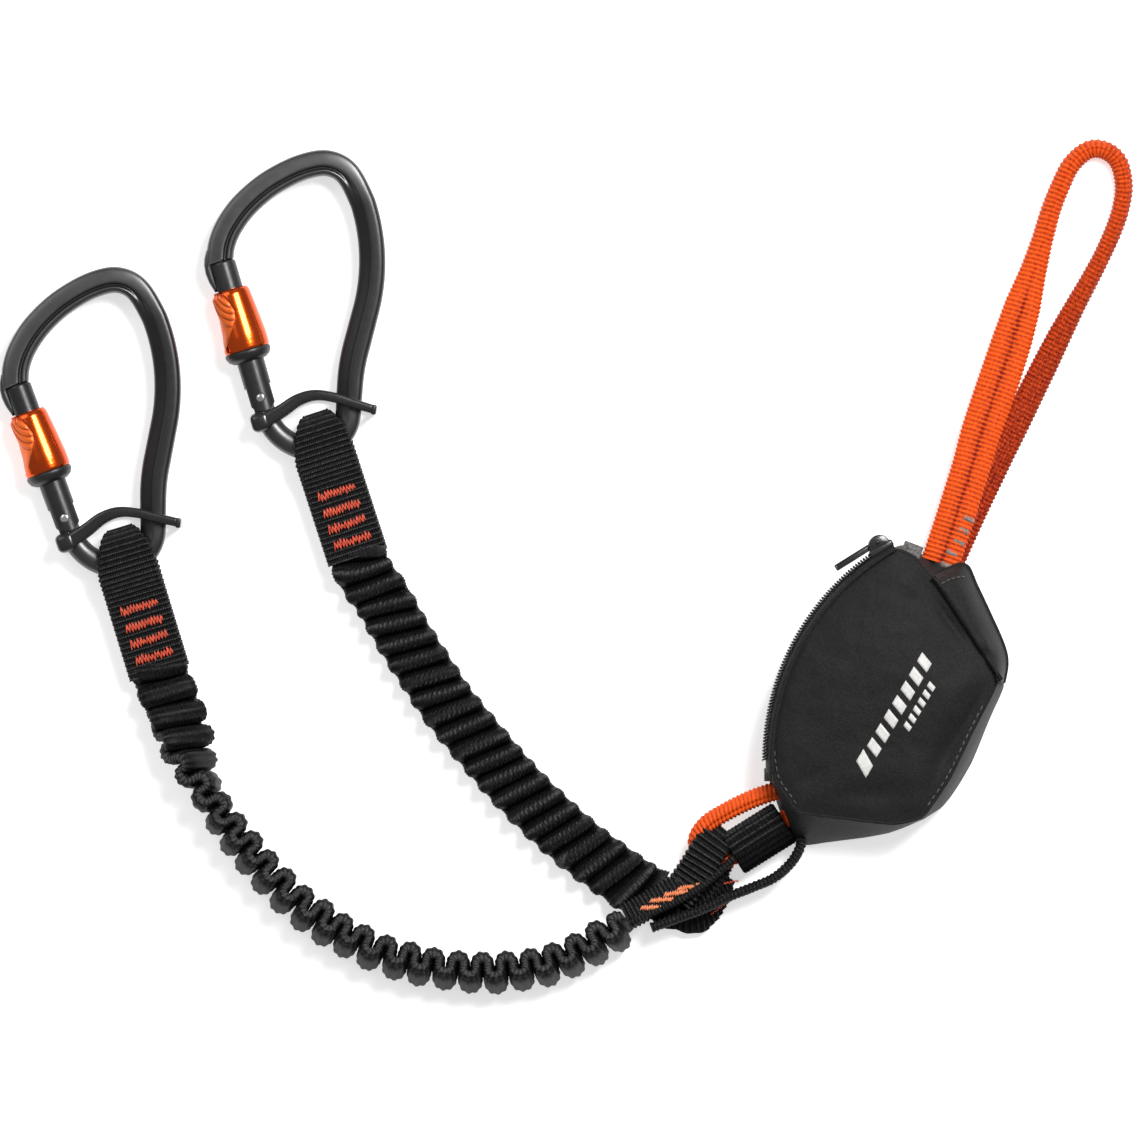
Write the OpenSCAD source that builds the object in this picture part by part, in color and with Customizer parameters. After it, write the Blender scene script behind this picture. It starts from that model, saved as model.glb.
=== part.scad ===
// Via ferrata lanyard: two elastic arms with auto-locking carabiners, joined at a sewn
// junction to a tear-webbing pouch and a harness loop. It lies flat, face up, on a table.
// Millimetres, +Z up. The origin is the middle of the laid-out set, on the table.

/* [Carabiners] */
// Gate length from its hinge rivet to its free end
gate_length = 54.6; // [54:0.1:55]
// Diameter of the round gate barrel
gate_d = 10.8; // [10.4:0.1:11]
// Width of the forged bar, seen from the front
bar_w = 10.8; // [10:0.1:11.2]
// Thickness of the forged bar, front to back
bar_t = 10; // [9:0.1:10.4]
// Largest diameter of the lock sleeve
sleeve_d = 18.6; // [18.2:0.1:18.8]

/* [Arms] */
// Width of the arm webbing, and its height where it lies edge-on
webbing_w = 24; // [22:0.5:25]
// Thickness of the end webbing where it is folded and sewn
sewn_t = 5.6; // [5:0.1:6]
// Thickness of a single layer of end webbing
layer_t = 2.2; // [1.8:0.1:2.4]
// Diameter of the elastic core inside each arm
core_d = 6; // [4:0.5:7]
// Wall of the gathered arm sleeve
arm_wall = 2.4; // [2:0.1:2.8]

/* [Pouch] */
// Height of the pouch above the table
pouch_h = 34; // [30:1:38]
// Thickness of its front and back panels
panel_t = 2; // [1.5:0.1:2.5]
// Thickness of its side wall
wall_t = 1.6; // [1.2:0.1:2]
// Radius of the curved zip
zip_r = 94.2; // [93.5:0.1:94.5]
// Diameter of the rolled absorber loop
loop_d = 7.8; // [7:0.1:8.2]

/* [Hidden] */
$fn = 48;
clear = 0.3;
run_clear = 0.08;

// ---------------------------------------------------------------- colours
black_metal = [0.16, 0.16, 0.17];
orange_metal = [0.86, 0.34, 0.07];
steel = [0.78, 0.78, 0.8];
black_web = [0.1, 0.1, 0.11];
orange_web = [0.85, 0.24, 0.08];
red_thread = [0.8, 0.22, 0.1];
pale_thread = [0.9, 0.5, 0.3];
grey_thread = [0.5, 0.46, 0.42];
rubber = [0.08, 0.08, 0.09];
pouch_grey = [0.22, 0.22, 0.23];
tape_grey = [0.35, 0.34, 0.34];

// ---------------------------------------------------------------- where things lie
// Height of the carabiners' middle plane: their sleeves rest on the table
plane_z = sleeve_d / 2;
left_rivet_at = [-196.7, 19.2];
left_turn = 20;
right_rivet_at = [-119.9, 66.4];
right_turn = 16.3;
// Middle of the basket bar inside each end loop, and the webbing's slant
left_web_at = [-173, 2];
left_web_turn = 17;
right_web_at = [-96, 47];
right_web_turn = 18;
// Sewn webbing runs from web_loop_end to web_end below the bar
web_loop_end = 13;
web_end = 45;

// Routes: centre points of the arms, from the end webbing to the junction
left_route = [
    [-159.5, -42.5, 9.3], [-155, -53, 9.5], [-151.5, -63, 10], [-148.5, -72, 10.8], [-144.5, -82, 11.6],
    [-139, -92, 12.2], [-132.5, -102, 12.6], [-125, -111.5, 12.8], [-117, -121, 12.6], [-108, -130, 12.3],
    [-97, -138.5, 12], [-85, -146, 12], [-72, -152, 12], [-58, -156, 12], [-43, -158.5, 12],
    [-28, -159, 12], [-13, -157.5, 12], [0, -153.5, 12], [11, -148, 12], [19.5, -142, 12], [23.5, -138.5, 12]
];
// Half width and half height of the arm at each of those points
left_sizes = [
    [10, 3.4], [10.5, 7], [9.5, 8.5], [9, 9.5], [8.6, 10.5],
    [8.4, 11], [8.3, 11.4], [8.3, 11.7], [8.3, 12], [8.3, 12],
    [8.3, 12], [8.3, 12], [8.3, 12], [8.3, 12], [8.3, 12],
    [8.3, 12], [8.3, 12], [8.3, 12], [8.3, 11.5], [7, 9], [4, 6]
];
left_split = 9;

right_route = [
    [-81.8, 3.3, 9.3], [-80.2, -1.2, 9.1], [-76.6, -6.6, 8.8],
    [-72, -13, 8.5], [-66.5, -23, 8.2], [-60.5, -33, 8], [-54, -43, 8],
    [-47.5, -53, 8], [-40, -62.5, 8], [-32, -72, 8], [-23.5, -82, 8], [-14, -92, 8], [-4, -101.5, 8],
    [7, -111, 8], [18.5, -119.5, 7.2], [27, -125.5, 5.2], [34.5, -129.8, 4.6]
];
right_sizes = [
    [10, 3.4], [10.4, 4.6], [10.4, 6.2],
    [10.3, 7.5], [10.2, 7.6], [10.2, 7.6], [10.2, 7.6],
    [10.2, 7.6], [10.2, 7.6], [10.2, 7.6], [10.2, 7.7], [10.2, 7.8], [10.2, 8],
    [10.2, 8], [10, 7.2], [8.5, 4.8], [4.5, 4]
];
right_split = 10;

left_tail_route = [[28, -135.5, 13], [38, -129.5, 13], [48, -123.5, 13], [57, -117, 13]];
right_tail_route = [[41.5, -130.3, 4.2], [45, -130, 4.2], [51, -127, 4.2], [56, -122, 4.2], [59, -116, 4.2]];
rest_route = [
    [33, -141.5, 8], [43, -137.8, 8], [53, -134.2, 8], [63, -129.5, 8], [73, -125.5, 8],
    [81, -122, 8], [87, -117, 8], [90.5, -112, 8]
];
absorber_route = [
    [95, -83.5, 16], [87, -86, 16], [79, -88.5, 16], [71, -91.5, 15.5], [62, -96, 15], [54.5, -101, 14],
    [51, -107.5, 12.5], [54, -114, 11], [60.5, -115.5, 10.5], [67, -111.5, 10.5], [74, -106.5, 11],
    [81, -101.5, 12], [88, -97, 13], [95, -92.5, 14]
];
harness_left_route = [
    [148.5, 9, 16.6], [151.5, 18, 16.4], [155, 29, 15.5], [158.5, 40, 14], [162, 52, 12], [166.5, 65, 10],
    [171, 78, 8.5], [175, 90, 7], [179, 103, 6], [183, 116, 5], [186.5, 128, 4.5], [190, 140, 4.2],
    [193.5, 149, 4.2], [198, 158, 4.2], [204.5, 163.6, 4.2], [211, 163.6, 4.2], [216.5, 159, 4.2],
    [218.6, 150, 4.2], [217.5, 141, 4.2], [214.5, 132, 4.2], [210, 122, 4.2], [205, 112.5, 4.2],
    [199.5, 102.5, 4.2], [194, 92, 4.2], [188.5, 81, 4.4], [182.5, 69, 4.8], [176.5, 57, 5.5],
    [170.5, 45.5, 6.8], [164.5, 34, 8.4], [159, 23.5, 10], [153.5, 12, 11]
];
harness_sizes = [
    [7.5, 2.6], [7.5, 2.6], [7.5, 2.6], [7.5, 2.6], [7.8, 2.6], [8, 2.6],
    [8, 2.6], [7.8, 2.6], [7, 2.8], [5.2, 3.3], [4.2, 3.8], [3.9, 3.9],
    [3.8, 3.8], [3.7, 3.8], [3.6, 3.8], [3.6, 3.8], [3.6, 3.8],
    [3.5, 3.8], [3.4, 3.8], [3.4, 3.8], [3.4, 3.8], [3.6, 3.8],
    [4, 3.8], [4.6, 3.6], [5, 3.4], [5.2, 3], [5.4, 2.7],
    [5.6, 2.6], [6, 2.6], [6.4, 2.6], [6.6, 2.6]
];
harness_pivot = [149, 8.5, 14];
harness_turn = -21;

// ---------------------------------------------------------------- swept tubes
function unit(v) = v / norm(v);

// Direction of travel at point i of a route
function travel(route, i) =
    unit(route[min(i + 1, len(route) - 1)] - route[max(i - 1, 0)]);

// One ring of points round point i: size is [half width, half height]
function ring(route, i, size, sides, spin) =
    let (
        along = travel(route, i),
        across = unit(cross([0, 0, 1], along)),
        up = cross(along, across)
    )
    [for (k = [0 : sides - 1])
        let (a = spin + 360 * k / sides)
        route[i] + across * size[0] * cos(a) + up * size[1] * sin(a)];

function size_at(sizes, i) = is_list(sizes[0]) ? sizes[i] : sizes;

// Rings from point first to point last; inset makes them smaller
function some_rings(route, sizes, sides, spin, inset, first, last) =
    [for (i = [first : last])
        each ring(route, i, size_at(sizes, i) - [inset, inset], sides, spin)];

// Side faces of a swept tube whose points start at index first, as pairs of triangles
function side_faces(rings, sides, first, inside) =
    [for (i = [0 : rings - 2], k = [0 : sides - 1])
        let (
            a = first + i * sides + k,
            b = first + i * sides + (k + 1) % sides,
            c = b + sides,
            d = a + sides
        )
        each inside ? [[a, b, c], [a, c, d]] : [[c, b, a], [d, c, a]]];

// Solid tube along a route from point i0 to point i1, with an oval or flattened section
module tube_part(route, sizes, i0, i1, sides, spin) {
    rings = i1 - i0 + 1;
    last = (rings - 1) * sides;
    polyhedron(
        points = some_rings(route, sizes, sides, spin, 0, i0, i1),
        faces = concat(
            side_faces(rings, sides, 0, false),
            [[for (k = [0 : sides - 1]) k]],
            [[for (k = [sides - 1 : -1 : 0]) last + k]]
        )
    );
}

module tube(route, sizes, sides = 10, spin = 0) {
    tube_part(route, sizes, 0, len(route) - 1, sides, spin);
}

// Open-ended hollow tube along part of a route, with a wall of even thickness
module hollow_tube(route, sizes, i0, i1, wall, sides = 12) {
    rings = i1 - i0 + 1;
    half = rings * sides;
    last = (rings - 1) * sides;
    polyhedron(
        points = concat(
            some_rings(route, sizes, sides, 0, 0, i0, i1),
            some_rings(route, sizes, sides, 0, wall, i0, i1)
        ),
        faces = concat(
            side_faces(rings, sides, 0, false),
            side_faces(rings, sides, half, true),
            [for (k = [0 : sides - 1])
                let (n = (k + 1) % sides)
                [k, n, half + n, half + k]],
            [for (k = [0 : sides - 1])
                let (n = (k + 1) % sides)
                [last + n, last + k, half + last + k, half + last + n]]
        )
    );
}

// Coil spring along +Y, from y0 to y1, made of wire of diameter wire_d
function coil_route(coil_r, turns, y0, y1, steps) =
    [for (i = [0 : turns * steps])
        let (a = 360 * i / steps)
        [coil_r * cos(a), y0 + (y1 - y0) * i / (turns * steps), coil_r * sin(a)]];

// Rings of a coil are set square to the spring's radius, so that they never twist
function coil_ring(route, i, wire_r, sides) =
    let (
        along = travel(route, i),
        out = unit([route[i][0], 0, route[i][2]]),
        side = cross(along, out)
    )
    [for (k = [0 : sides - 1])
        let (a = 360 * k / sides)
        route[i] + out * wire_r * cos(a) + side * wire_r * sin(a)];

module coil_spring(coil_r, wire_d, turns, y0, y1, steps = 12, sides = 5) {
    route = coil_route(coil_r, turns, y0 + wire_d / 2 + clear / 3, y1 - wire_d / 2 - clear / 3, steps);
    rings = len(route);
    last = (rings - 1) * sides;
    polyhedron(
        points = [for (i = [0 : rings - 1]) each coil_ring(route, i, wire_d / 2, sides)],
        faces = concat(
            side_faces(rings, sides, 0, false),
            [[for (k = [0 : sides - 1]) k]],
            [[for (k = [sides - 1 : -1 : 0]) last + k]]
        )
    );
}

// ---------------------------------------------------------------- carabiner
// Local frame: the hinge rivet is the origin, the gate runs along +Y, the spine is at +X.

module place_left() {
    translate([left_rivet_at[0], left_rivet_at[1], plane_z]) rotate(left_turn) children();
}

module place_right() {
    translate([right_rivet_at[0], right_rivet_at[1], plane_z]) rotate(right_turn) children();
}

rivet_r = 1.25;
rivet_head_r = 1.8;
ear_r = gate_d / 2;
slot_half = 2.65;
tongue_half = 2.5;
tongue_r = 4;
cam_y = 3;
slot_top = 4.7;
plunger_r = 2.25;
plunger_y = 3.2;
plunger_len = 6;
gate_bore_top = 26;
nose_y = 55.3;
lip_x = -3.7;
lip_y = 44.5;
sleeve_y = [15, 19.5, 41.5, 44];
sleeve_bore_r = gate_d / 2 + run_clear;
chamber_r = 7.2;
ring_y = [19.8, 21];
ring_groove_r = 5;
ring_r = 7;

// Section of the forged bar: x runs outward, with a broad chamfer on the inner side
module bar_section(grow = 0) {
    w = bar_w / 2 + grow;
    t = bar_t / 2 + grow;
    polygon([
        [-w, -t + 2.6], [-w + 3.2, -t], [w - 1.8, -t], [w, -t + 1.8],
        [w, t - 1.8], [w - 1.8, t], [-w + 3.2, t], [-w, t - 2.6]
    ]);
}

// The bar's path: ["left" or "right", radius, angle] turns and ["straight", length] runs,
// from the hinge round the basket, up the spine, over the bow and down to the nose
bar_path = [
    ["left", 19.5, 70], ["left", 14, 90], ["straight", 12], ["right", 75, 11], ["straight", 15.5],
    ["left", 75, 37.5], ["left", 14, 98], ["straight", 29], ["left", 18.5, 75.5]
];

module bar_piece(step, grow) {
    if (step[0] == "straight") {
        translate([0, step[1], 0]) rotate([90, 0, 0]) linear_extrude(step[1]) bar_section(grow);
    } else if (step[0] == "left") {
        translate([-step[1], 0, 0])
            rotate_extrude(angle = step[2], $fn = 96) translate([step[1], 0]) bar_section(grow);
    } else {
        mirror([1, 0, 0]) translate([-step[1], 0, 0])
            rotate_extrude(angle = step[2], $fn = 96) translate([step[1], 0]) mirror([1, 0]) bar_section(grow);
    }
}

module to_end_of(step) {
    if (step[0] == "straight") {
        translate([0, step[1], 0]) children();
    } else {
        side = step[0] == "left" ? 1 : -1;
        translate([-side * step[1], 0, 0]) rotate(side * step[2]) translate([side * step[1], 0, 0]) children();
    }
}

// A thin collar, a hair proud of the bar, ties each stretch to the next
module bar_collar(grow) {
    translate([0, 0.25, 0]) rotate([90, 0, 0]) linear_extrude(0.5) bar_section(grow + 0.03);
}

// Stretches i to last of the bar
module bar_from(i, last, grow = 0) {
    bar_piece(bar_path[i], grow);
    if (i < last) to_end_of(bar_path[i]) {
        bar_collar(grow);
        bar_from(i + 1, last, grow);
    }
}

// Room for the lower end of the bar inside the folded webbing
module basket_way() {
    translate([0, -6.2, 0]) rotate(180) bar_from(0, 2, clear);
}

// Flat tongue that carries the rivet inside the gate's fork
module hinge_tongue() {
    translate([0, 0, -tongue_half]) linear_extrude(2 * tongue_half) difference() {
        union() {
            circle(tongue_r);
            translate([-tongue_r, -7]) square([2 * tongue_r, 7]);
        }
        translate([-tongue_r - 1, cam_y]) square([2 * tongue_r + 2, tongue_r]);
    }
}

// Nose lip that runs down the outer side of the gate's free end
module nose_lip() {
    translate([-gate_d / 2 - 1.1, lip_y, -2.4]) cube([lip_x - 0.4 + gate_d / 2 + 1.1, nose_y - lip_y + 2, 4.8]);
}

module frame() {
    color(black_metal) difference() {
        union() {
            translate([0, -6.2, 0]) rotate(180) bar_from(0, len(bar_path) - 1);
            hinge_tongue();
            nose_lip();
        }
        cylinder(r = rivet_r + 0.05, h = 20, center = true);
    }
}

module gate() {
    color(black_metal) difference() {
        intersection() {
            translate([0, -ear_r, 0]) rotate([-90, 0, 0]) cylinder(d = gate_d, h = gate_length + ear_r);
            union() {
                cylinder(r = ear_r, h = 20, center = true);
                translate([-10, 0, -10]) cube([20, gate_length, 20]);
            }
        }
        // Fork slot, with a narrow relief on the inner side
        translate([-10, -10, -slot_half]) cube([20, 10 + slot_top, 2 * slot_half]);
        translate([2.2, 0, -1.1]) cube([10, 10, 2.2]);
        // Rivet hole and the seats of its heads
        cylinder(r = rivet_r, h = 20, center = true);
        for (side = [0, 1]) mirror([0, 0, side]) translate([0, 0, 4.6]) cylinder(r = rivet_head_r, h = 5);
        // Bore for the plunger and its spring
        rotate([-90, 0, 0]) cylinder(r = plunger_r + 0.05, h = gate_bore_top);
        // Groove for the ring that the sleeve spring pushes on
        difference() {
            translate([0, ring_y[0], 0]) rotate([-90, 0, 0]) cylinder(r = 10, h = ring_y[1] - ring_y[0]);
            translate([0, ring_y[0], 0]) rotate([-90, 0, 0]) cylinder(r = ring_groove_r, h = ring_y[1] - ring_y[0]);
        }
        // Recess for the nose lip
        translate([-10, lip_y - 0.4, -2.9]) cube([10 + lip_x, 20, 5.8]);
    }
}

module gate_rivet() {
    color(steel) {
        cylinder(r = rivet_r, h = 9.2, center = true);
        for (side = [0, 1]) mirror([0, 0, side]) translate([0, 0, 4.6]) {
            cylinder(r = rivet_head_r, h = 0.5);
            translate([0, 0, 0.5]) cylinder(r1 = rivet_head_r, r2 = 1.1, h = 0.4);
        }
    }
}

module gate_plunger() {
    color(steel) translate([0, plunger_y, 0]) rotate([-90, 0, 0]) cylinder(r = plunger_r, h = plunger_len);
}

module gate_spring() {
    color(steel) coil_spring(1.7, 0.6, 8, plunger_y + plunger_len, gate_bore_top, 10);
}

module sleeve_bore(y0, y1, r) {
    translate([0, y0, 0]) rotate([-90, 0, 0]) cylinder(r = r, h = y1 - y0);
}

module lock_sleeve() {
    r = sleeve_d / 2;
    color(orange_metal) difference() {
        rotate([-90, 0, 0]) rotate_extrude($fn = 96) polygon([
            [0, sleeve_y[1]], [r, sleeve_y[1]], [r, 25], [r - 0.9, 34], [r - 1.6, 42],
            [r - 2.2, 43.4], [r - 3, sleeve_y[3]], [0, sleeve_y[3]]
        ]);
        sleeve_bore(0, 60, sleeve_bore_r);
        sleeve_bore(sleeve_y[1] - 1, sleeve_y[2], chamber_r);
        // Thumb scoop on the outer side
        translate([-26.2, 33, -12]) cylinder(r = 18, h = 24);
        for (y = [31 : 2.4 : 39]) translate([-9.3, y, -12]) cylinder(r = 0.9, h = 24);
    }
}

module sleeve_cap() {
    r = sleeve_d / 2 - 0.2;
    color(rubber) difference() {
        rotate([-90, 0, 0]) rotate_extrude($fn = 96) polygon([
            [0, sleeve_y[0]], [r - 2.8, sleeve_y[0]], [r - 0.9, sleeve_y[0] + 1.2], [r, sleeve_y[0] + 3],
            [r, sleeve_y[1]], [0, sleeve_y[1]]
        ]);
        sleeve_bore(0, 60, sleeve_bore_r);
    }
}

module sleeve_spring() {
    color(steel) coil_spring(6.3, 0.9, 5, ring_y[1], sleeve_y[2], 14);
}

module spring_ring() {
    color(steel) difference() {
        sleeve_bore(ring_y[0], ring_y[1], ring_r);
        sleeve_bore(ring_y[0] - 1, ring_y[1] + 1, ring_groove_r);
    }
}

// Rubber keeper: a band round both legs, its front and back arms arched over the webbing
keeper_line = [[-3.2, -9.4], [6.5, -7.2], [13.5, -5], [20.5, -5], [27.5, -8], [34.5, -12.6], [40.2, -16.4]];
keeper_w = 4.2;
keeper_t = 2.8;
keeper_gap = 0.7;

module keeper_arm() {
    z0 = bar_t / 2 + keeper_gap;
    for (i = [0 : len(keeper_line) - 2]) hull() {
        translate([keeper_line[i][0], keeper_line[i][1], z0]) cylinder(d = keeper_w, h = keeper_t, $fn = 16);
        translate([keeper_line[i + 1][0], keeper_line[i + 1][1], z0])
            cylinder(d = keeper_w, h = keeper_t, $fn = 16);
    }
}

module keeper() {
    reach = bar_t / 2 + keeper_gap + keeper_t;
    color(rubber) {
        keeper_arm();
        mirror([0, 0, 1]) keeper_arm();
        translate([-7.2, -12.2, -reach]) cube([1.5, 5.4, 2 * reach]);
        translate([-7.2, -12.2, reach - keeper_t]) cube([4.4, 5.4, keeper_t]);
        translate([-7.2, -12.2, -reach]) cube([4.4, 5.4, keeper_t]);
        translate([40, -16.6, -reach]) rotate(-22) translate([0, -2.1, 0]) cube([2.2, 4.2, 2 * reach]);
    }
}

// ---------------------------------------------------------------- end webbing
// Local frame: the bar's middle is the origin, the arm runs along -Y, the webbing lies across X.

module place_left_web() {
    translate([left_web_at[0], left_web_at[1], plane_z]) rotate(left_web_turn) children();
}

module place_right_web() {
    translate([right_web_at[0], right_web_at[1], plane_z]) rotate(right_web_turn) children();
}

// Outline of the folded loop seen from its side: grown by extra all round
module loop_outline(extra) {
    hull() {
        translate([5.6, 0]) circle(r = 5.4 + extra, $fn = 32);
        translate([-7, 0]) circle(r = 5.3 + extra, $fn = 32);
        translate([-11.5, 0]) circle(r = 0.4 + extra, $fn = 32);
    }
}

module end_loop() {
    rotate([90, 0, 90]) translate([0, 0, -webbing_w / 2]) linear_extrude(webbing_w)
        difference() {
            loop_outline(layer_t);
            loop_outline(0);
            translate([-40, -20]) square([40 - web_loop_end, 40]);
        }
}

module end_webbing() {
    color(black_web) translate([-webbing_w / 2, -web_end, -sewn_t / 2])
        cube([webbing_w, web_end - web_loop_end, sewn_t]);
}

// Four bar tacks, seen on the front and the back of the sewn webbing
tack_y = [-18.5, -25.2, -31.9, -38.6];
module end_tacks() {
    color(red_thread) for (y = tack_y, side = [0, 1]) mirror([0, 0, side])
        translate([-7.5, y - 1.3, sewn_t / 2]) cube([15, 2.6, 0.7]);
}

// ---------------------------------------------------------------- arms
module arm_piece(route, sizes, first, last) {
    color(black_web) hollow_tube(route, sizes, first, last, arm_wall);
}

// The narrow ends of an arm leave less room, so the core stops one point short of them
module core_piece(route, first, last) {
    color(orange_web) tube_part(route, [core_d / 2, core_d / 2], first, last, 8, 0);
}

module tail(route, size) {
    color(black_web) difference() {
        tube(route, size, 8, 22.5);
        absorber_way();
        rest_way();
    }
}

// Bar tacks lying across a tail's flat top
module tail_tacks(route, size, count, slant) {
    top = route[0][2] + size[1] * cos(22.5);
    a = route[0];
    b = route[len(route) - 1];
    color(pale_thread) for (i = [0 : count - 1])
        let (p = a + (b - a) * (0.12 + 0.52 * i / (count - 1)))
        translate([p[0], p[1], top]) rotate(slant) translate([-3.5, -0.7, 0]) cube([7, 1.4, 0.6]);
}

left_tail_size = [5.6, 3];
right_tail_size = [6.5, 3.2];

// ---------------------------------------------------------------- junction
module absorber_loop() {
    color(orange_web) tube(absorber_route, [loop_d / 2, loop_d / 2], 10);
}

module absorber_way() {
    tube(absorber_route, [loop_d / 2 + 0.1, loop_d / 2 + 0.1], 10);
}

module band_block() {
    translate([74.5, -106.8, 9.8]) rotate(32) translate([-11.5, -9, 0])
        rotate([90, 0, 90]) linear_extrude(23) hull() {
            translate([3, -5.8]) circle(r = 3, $fn = 24);
            translate([15, -5.8]) circle(r = 3, $fn = 24);
            translate([3, 5.4]) circle(r = 3, $fn = 24);
            translate([15, 5.4]) circle(r = 3, $fn = 24);
        }
}

module band() {
    color(black_web) difference() {
        band_block();
        absorber_way();
    }
}

// Folded webbing that holds the absorber loop and takes both tails
module junction_eye() {
    color(black_web) difference() {
        hull() {
            translate([54.5, -109.5, 4]) cylinder(r = 5, h = 13, $fn = 24);
            translate([56, -116.5, 4]) cylinder(r = 6, h = 13, $fn = 24);
            translate([61.5, -114.2, 4]) cylinder(r = 5, h = 13, $fn = 24);
        }
        absorber_way();
        band_block();
        tube(left_tail_route, left_tail_size, 8, 22.5);
        tube(right_tail_route, right_tail_size, 8, 22.5);
        tail_tacks(left_tail_route, left_tail_size, 4, 20);
        tail_tacks(right_tail_route, right_tail_size, 3, 38);
    }
}

module rest_loop() {
    color(black_web) tube(rest_route, [2.3, 8], 8, 22.5);
}

module rest_way() {
    tube(rest_route, [2.5, 8.3], 8, 22.5);
}

// ---------------------------------------------------------------- pouch
zip_centre = [174, -75];

function zip_point(r, a) = [zip_centre[0] + r * cos(a), zip_centre[1] + r * sin(a)];

function zip_arc(r, first, last) = [for (a = [first : 4 : last]) zip_point(r, a)];

// Outline against the table, then the smaller one round the front panel, point for point
base_outline = concat(zip_arc(zip_r, 120, 180), [
    [80.5, -86], [84, -97], [90.5, -109], [104, -108], [126.5, -104.5], [141, -98.5], [151, -90], [159, -77],
    [166, -60], [171, -47.5], [169.5, -35], [163, -19], [156, -2], [147, 1.6], [137, 5.8], [131, 7.2]
]);
front_outline = concat(zip_arc(zip_r, 120, 180), [
    [81.5, -83.5], [86, -90], [90.5, -95.5], [104, -97.5], [127, -100], [138, -97.5], [143, -91.5],
    [149.5, -81.5], [158, -64], [167.5, -45], [165.5, -37], [156, -23.5], [143, -5], [140, -1.5],
    [135.5, 3.6], [131, 6]
]);
pouch_middle = [125, -51];

module pouch_front() {
    color(pouch_grey) translate([0, 0, pouch_h - panel_t]) linear_extrude(panel_t) polygon(front_outline);
}

module pouch_back() {
    color(pouch_grey) linear_extrude(panel_t) polygon(base_outline);
}

function at_height(outline, z) = [for (p = outline) [p[0], p[1], z]];

// The same outline, drawn in towards the pouch's middle by a wall's thickness
function drawn_in(outline, wall) =
    [for (p = outline) p - wall * unit(p - pouch_middle)];

// Sloping side wall between the two panels, open above and below
module side_wall() {
    n = len(base_outline);
    low = panel_t;
    high = pouch_h - panel_t;
    polyhedron(
        points = concat(
            at_height(base_outline, low), at_height(front_outline, high),
            at_height(drawn_in(base_outline, wall_t), low), at_height(drawn_in(front_outline, wall_t), high)
        ),
        faces = concat(
            side_faces(2, n, 0, false),
            side_faces(2, n, 2 * n, true),
            [for (k = [0 : n - 1]) let (m = (k + 1) % n) each [[k, m, 2 * n + m], [k, 2 * n + m, 2 * n + k]]],
            [for (k = [0 : n - 1])
                let (m = (k + 1) % n)
                each [[n + m, n + k, 3 * n + k], [n + m, 3 * n + k, 3 * n + m]]]
        )
    );
}

// Straight hole for a strand of the absorber loop, from point a towards point b
module strand_hole(a, b) {
    turn = atan2(b[1] - a[1], b[0] - a[0]);
    tilt = atan2(b[2] - a[2], norm([b[0] - a[0], b[1] - a[1]]));
    translate(a) rotate([0, 90 - tilt, turn]) cylinder(d = loop_d + 0.4, h = norm(b - a));
}

module pouch_gusset() {
    ends = len(absorber_route) - 1;
    color(pouch_grey) difference() {
        side_wall();
        strand_hole(absorber_route[0], absorber_route[2]);
        strand_hole(absorber_route[ends], absorber_route[ends - 2]);
        top_tab();
        side_tab();
    }
}

// Folded tear webbing: layers joined by bends, packed inside the pouch
tear_layers = 7;
tear_pitch = 3.6;
tear_len = 62;
tear_t = 2.6;

module tear_profile() {
    for (i = [0 : tear_layers - 1]) translate([0, i * tear_pitch]) square([tear_len, tear_t]);
    for (i = [0 : tear_layers - 2])
        translate([i % 2 == 0 ? tear_len : -tear_t, i * tear_pitch]) square([tear_t, tear_pitch + tear_t]);
}

module tear_webbing() {
    color(orange_web) translate([128, -48, 4.4]) rotate(69) translate([-tear_len / 2, 15, 0])
        rotate([90, 0, 0]) linear_extrude(30) tear_profile();
}

// Zip: tape against the wall, coil on the tape, slider over the coil
zip_z = 26;
tape_t = 0.8;
coil_t = 1.4;
coil_w = 2.4;
slider_at = 122;
slider_half = 3;

module zip_ring(r0, r1, z0, z1, first, last) {
    translate([zip_centre[0], zip_centre[1], 0]) rotate(first)
        rotate_extrude(angle = last - first, $fn = 180)
            translate([r0, z0]) square([r1 - r0, z1 - z0]);
}

module zip_tape() {
    color(tape_grey) zip_ring(zip_r, zip_r + tape_t, zip_z - 5.5, zip_z + 5.5, 118, 180);
}

module zip_coil() {
    r = zip_r + tape_t;
    color(black_web) zip_ring(r, r + coil_t, zip_z - coil_w / 2, zip_z + coil_w / 2, 118.5, 180);
}

slider_r = [zip_r + tape_t + 0.3, zip_r + tape_t + coil_t + 1.7];
lug_r = [slider_r[1], slider_r[1] + 3.2];
pin_r = 0.8;
pin_at = lug_r[0] + 1.7;

// The slider's own frame: +X points out from the zip's centre, z 0 is the coil's middle
module at_slider() {
    translate([zip_centre[0], zip_centre[1], zip_z]) rotate(slider_at) children();
}

module slider_ring(r0, r1, half_h, half_angle) {
    zip_ring(r0, r1, zip_z - half_h, zip_z + half_h, slider_at - half_angle, slider_at + half_angle);
}

module slider_lug(z) {
    at_slider() difference() {
        translate([lug_r[0] - 0.2, -1.6, z - 0.8]) cube([lug_r[1] - lug_r[0] + 0.2, 3.2, 1.6]);
        translate([pin_at, 0, z - 2]) cylinder(r = pin_r + 0.06, h = 4);
    }
}

module zip_slider() {
    color(steel) {
        difference() {
            slider_ring(slider_r[0], slider_r[1], 4, slider_half);
            slider_ring(slider_r[0] - 1, zip_r + tape_t + coil_t + 0.3, coil_w / 2 + 0.3, slider_half + 1);
        }
        slider_lug(-3);
        slider_lug(3);
    }
}

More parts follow.
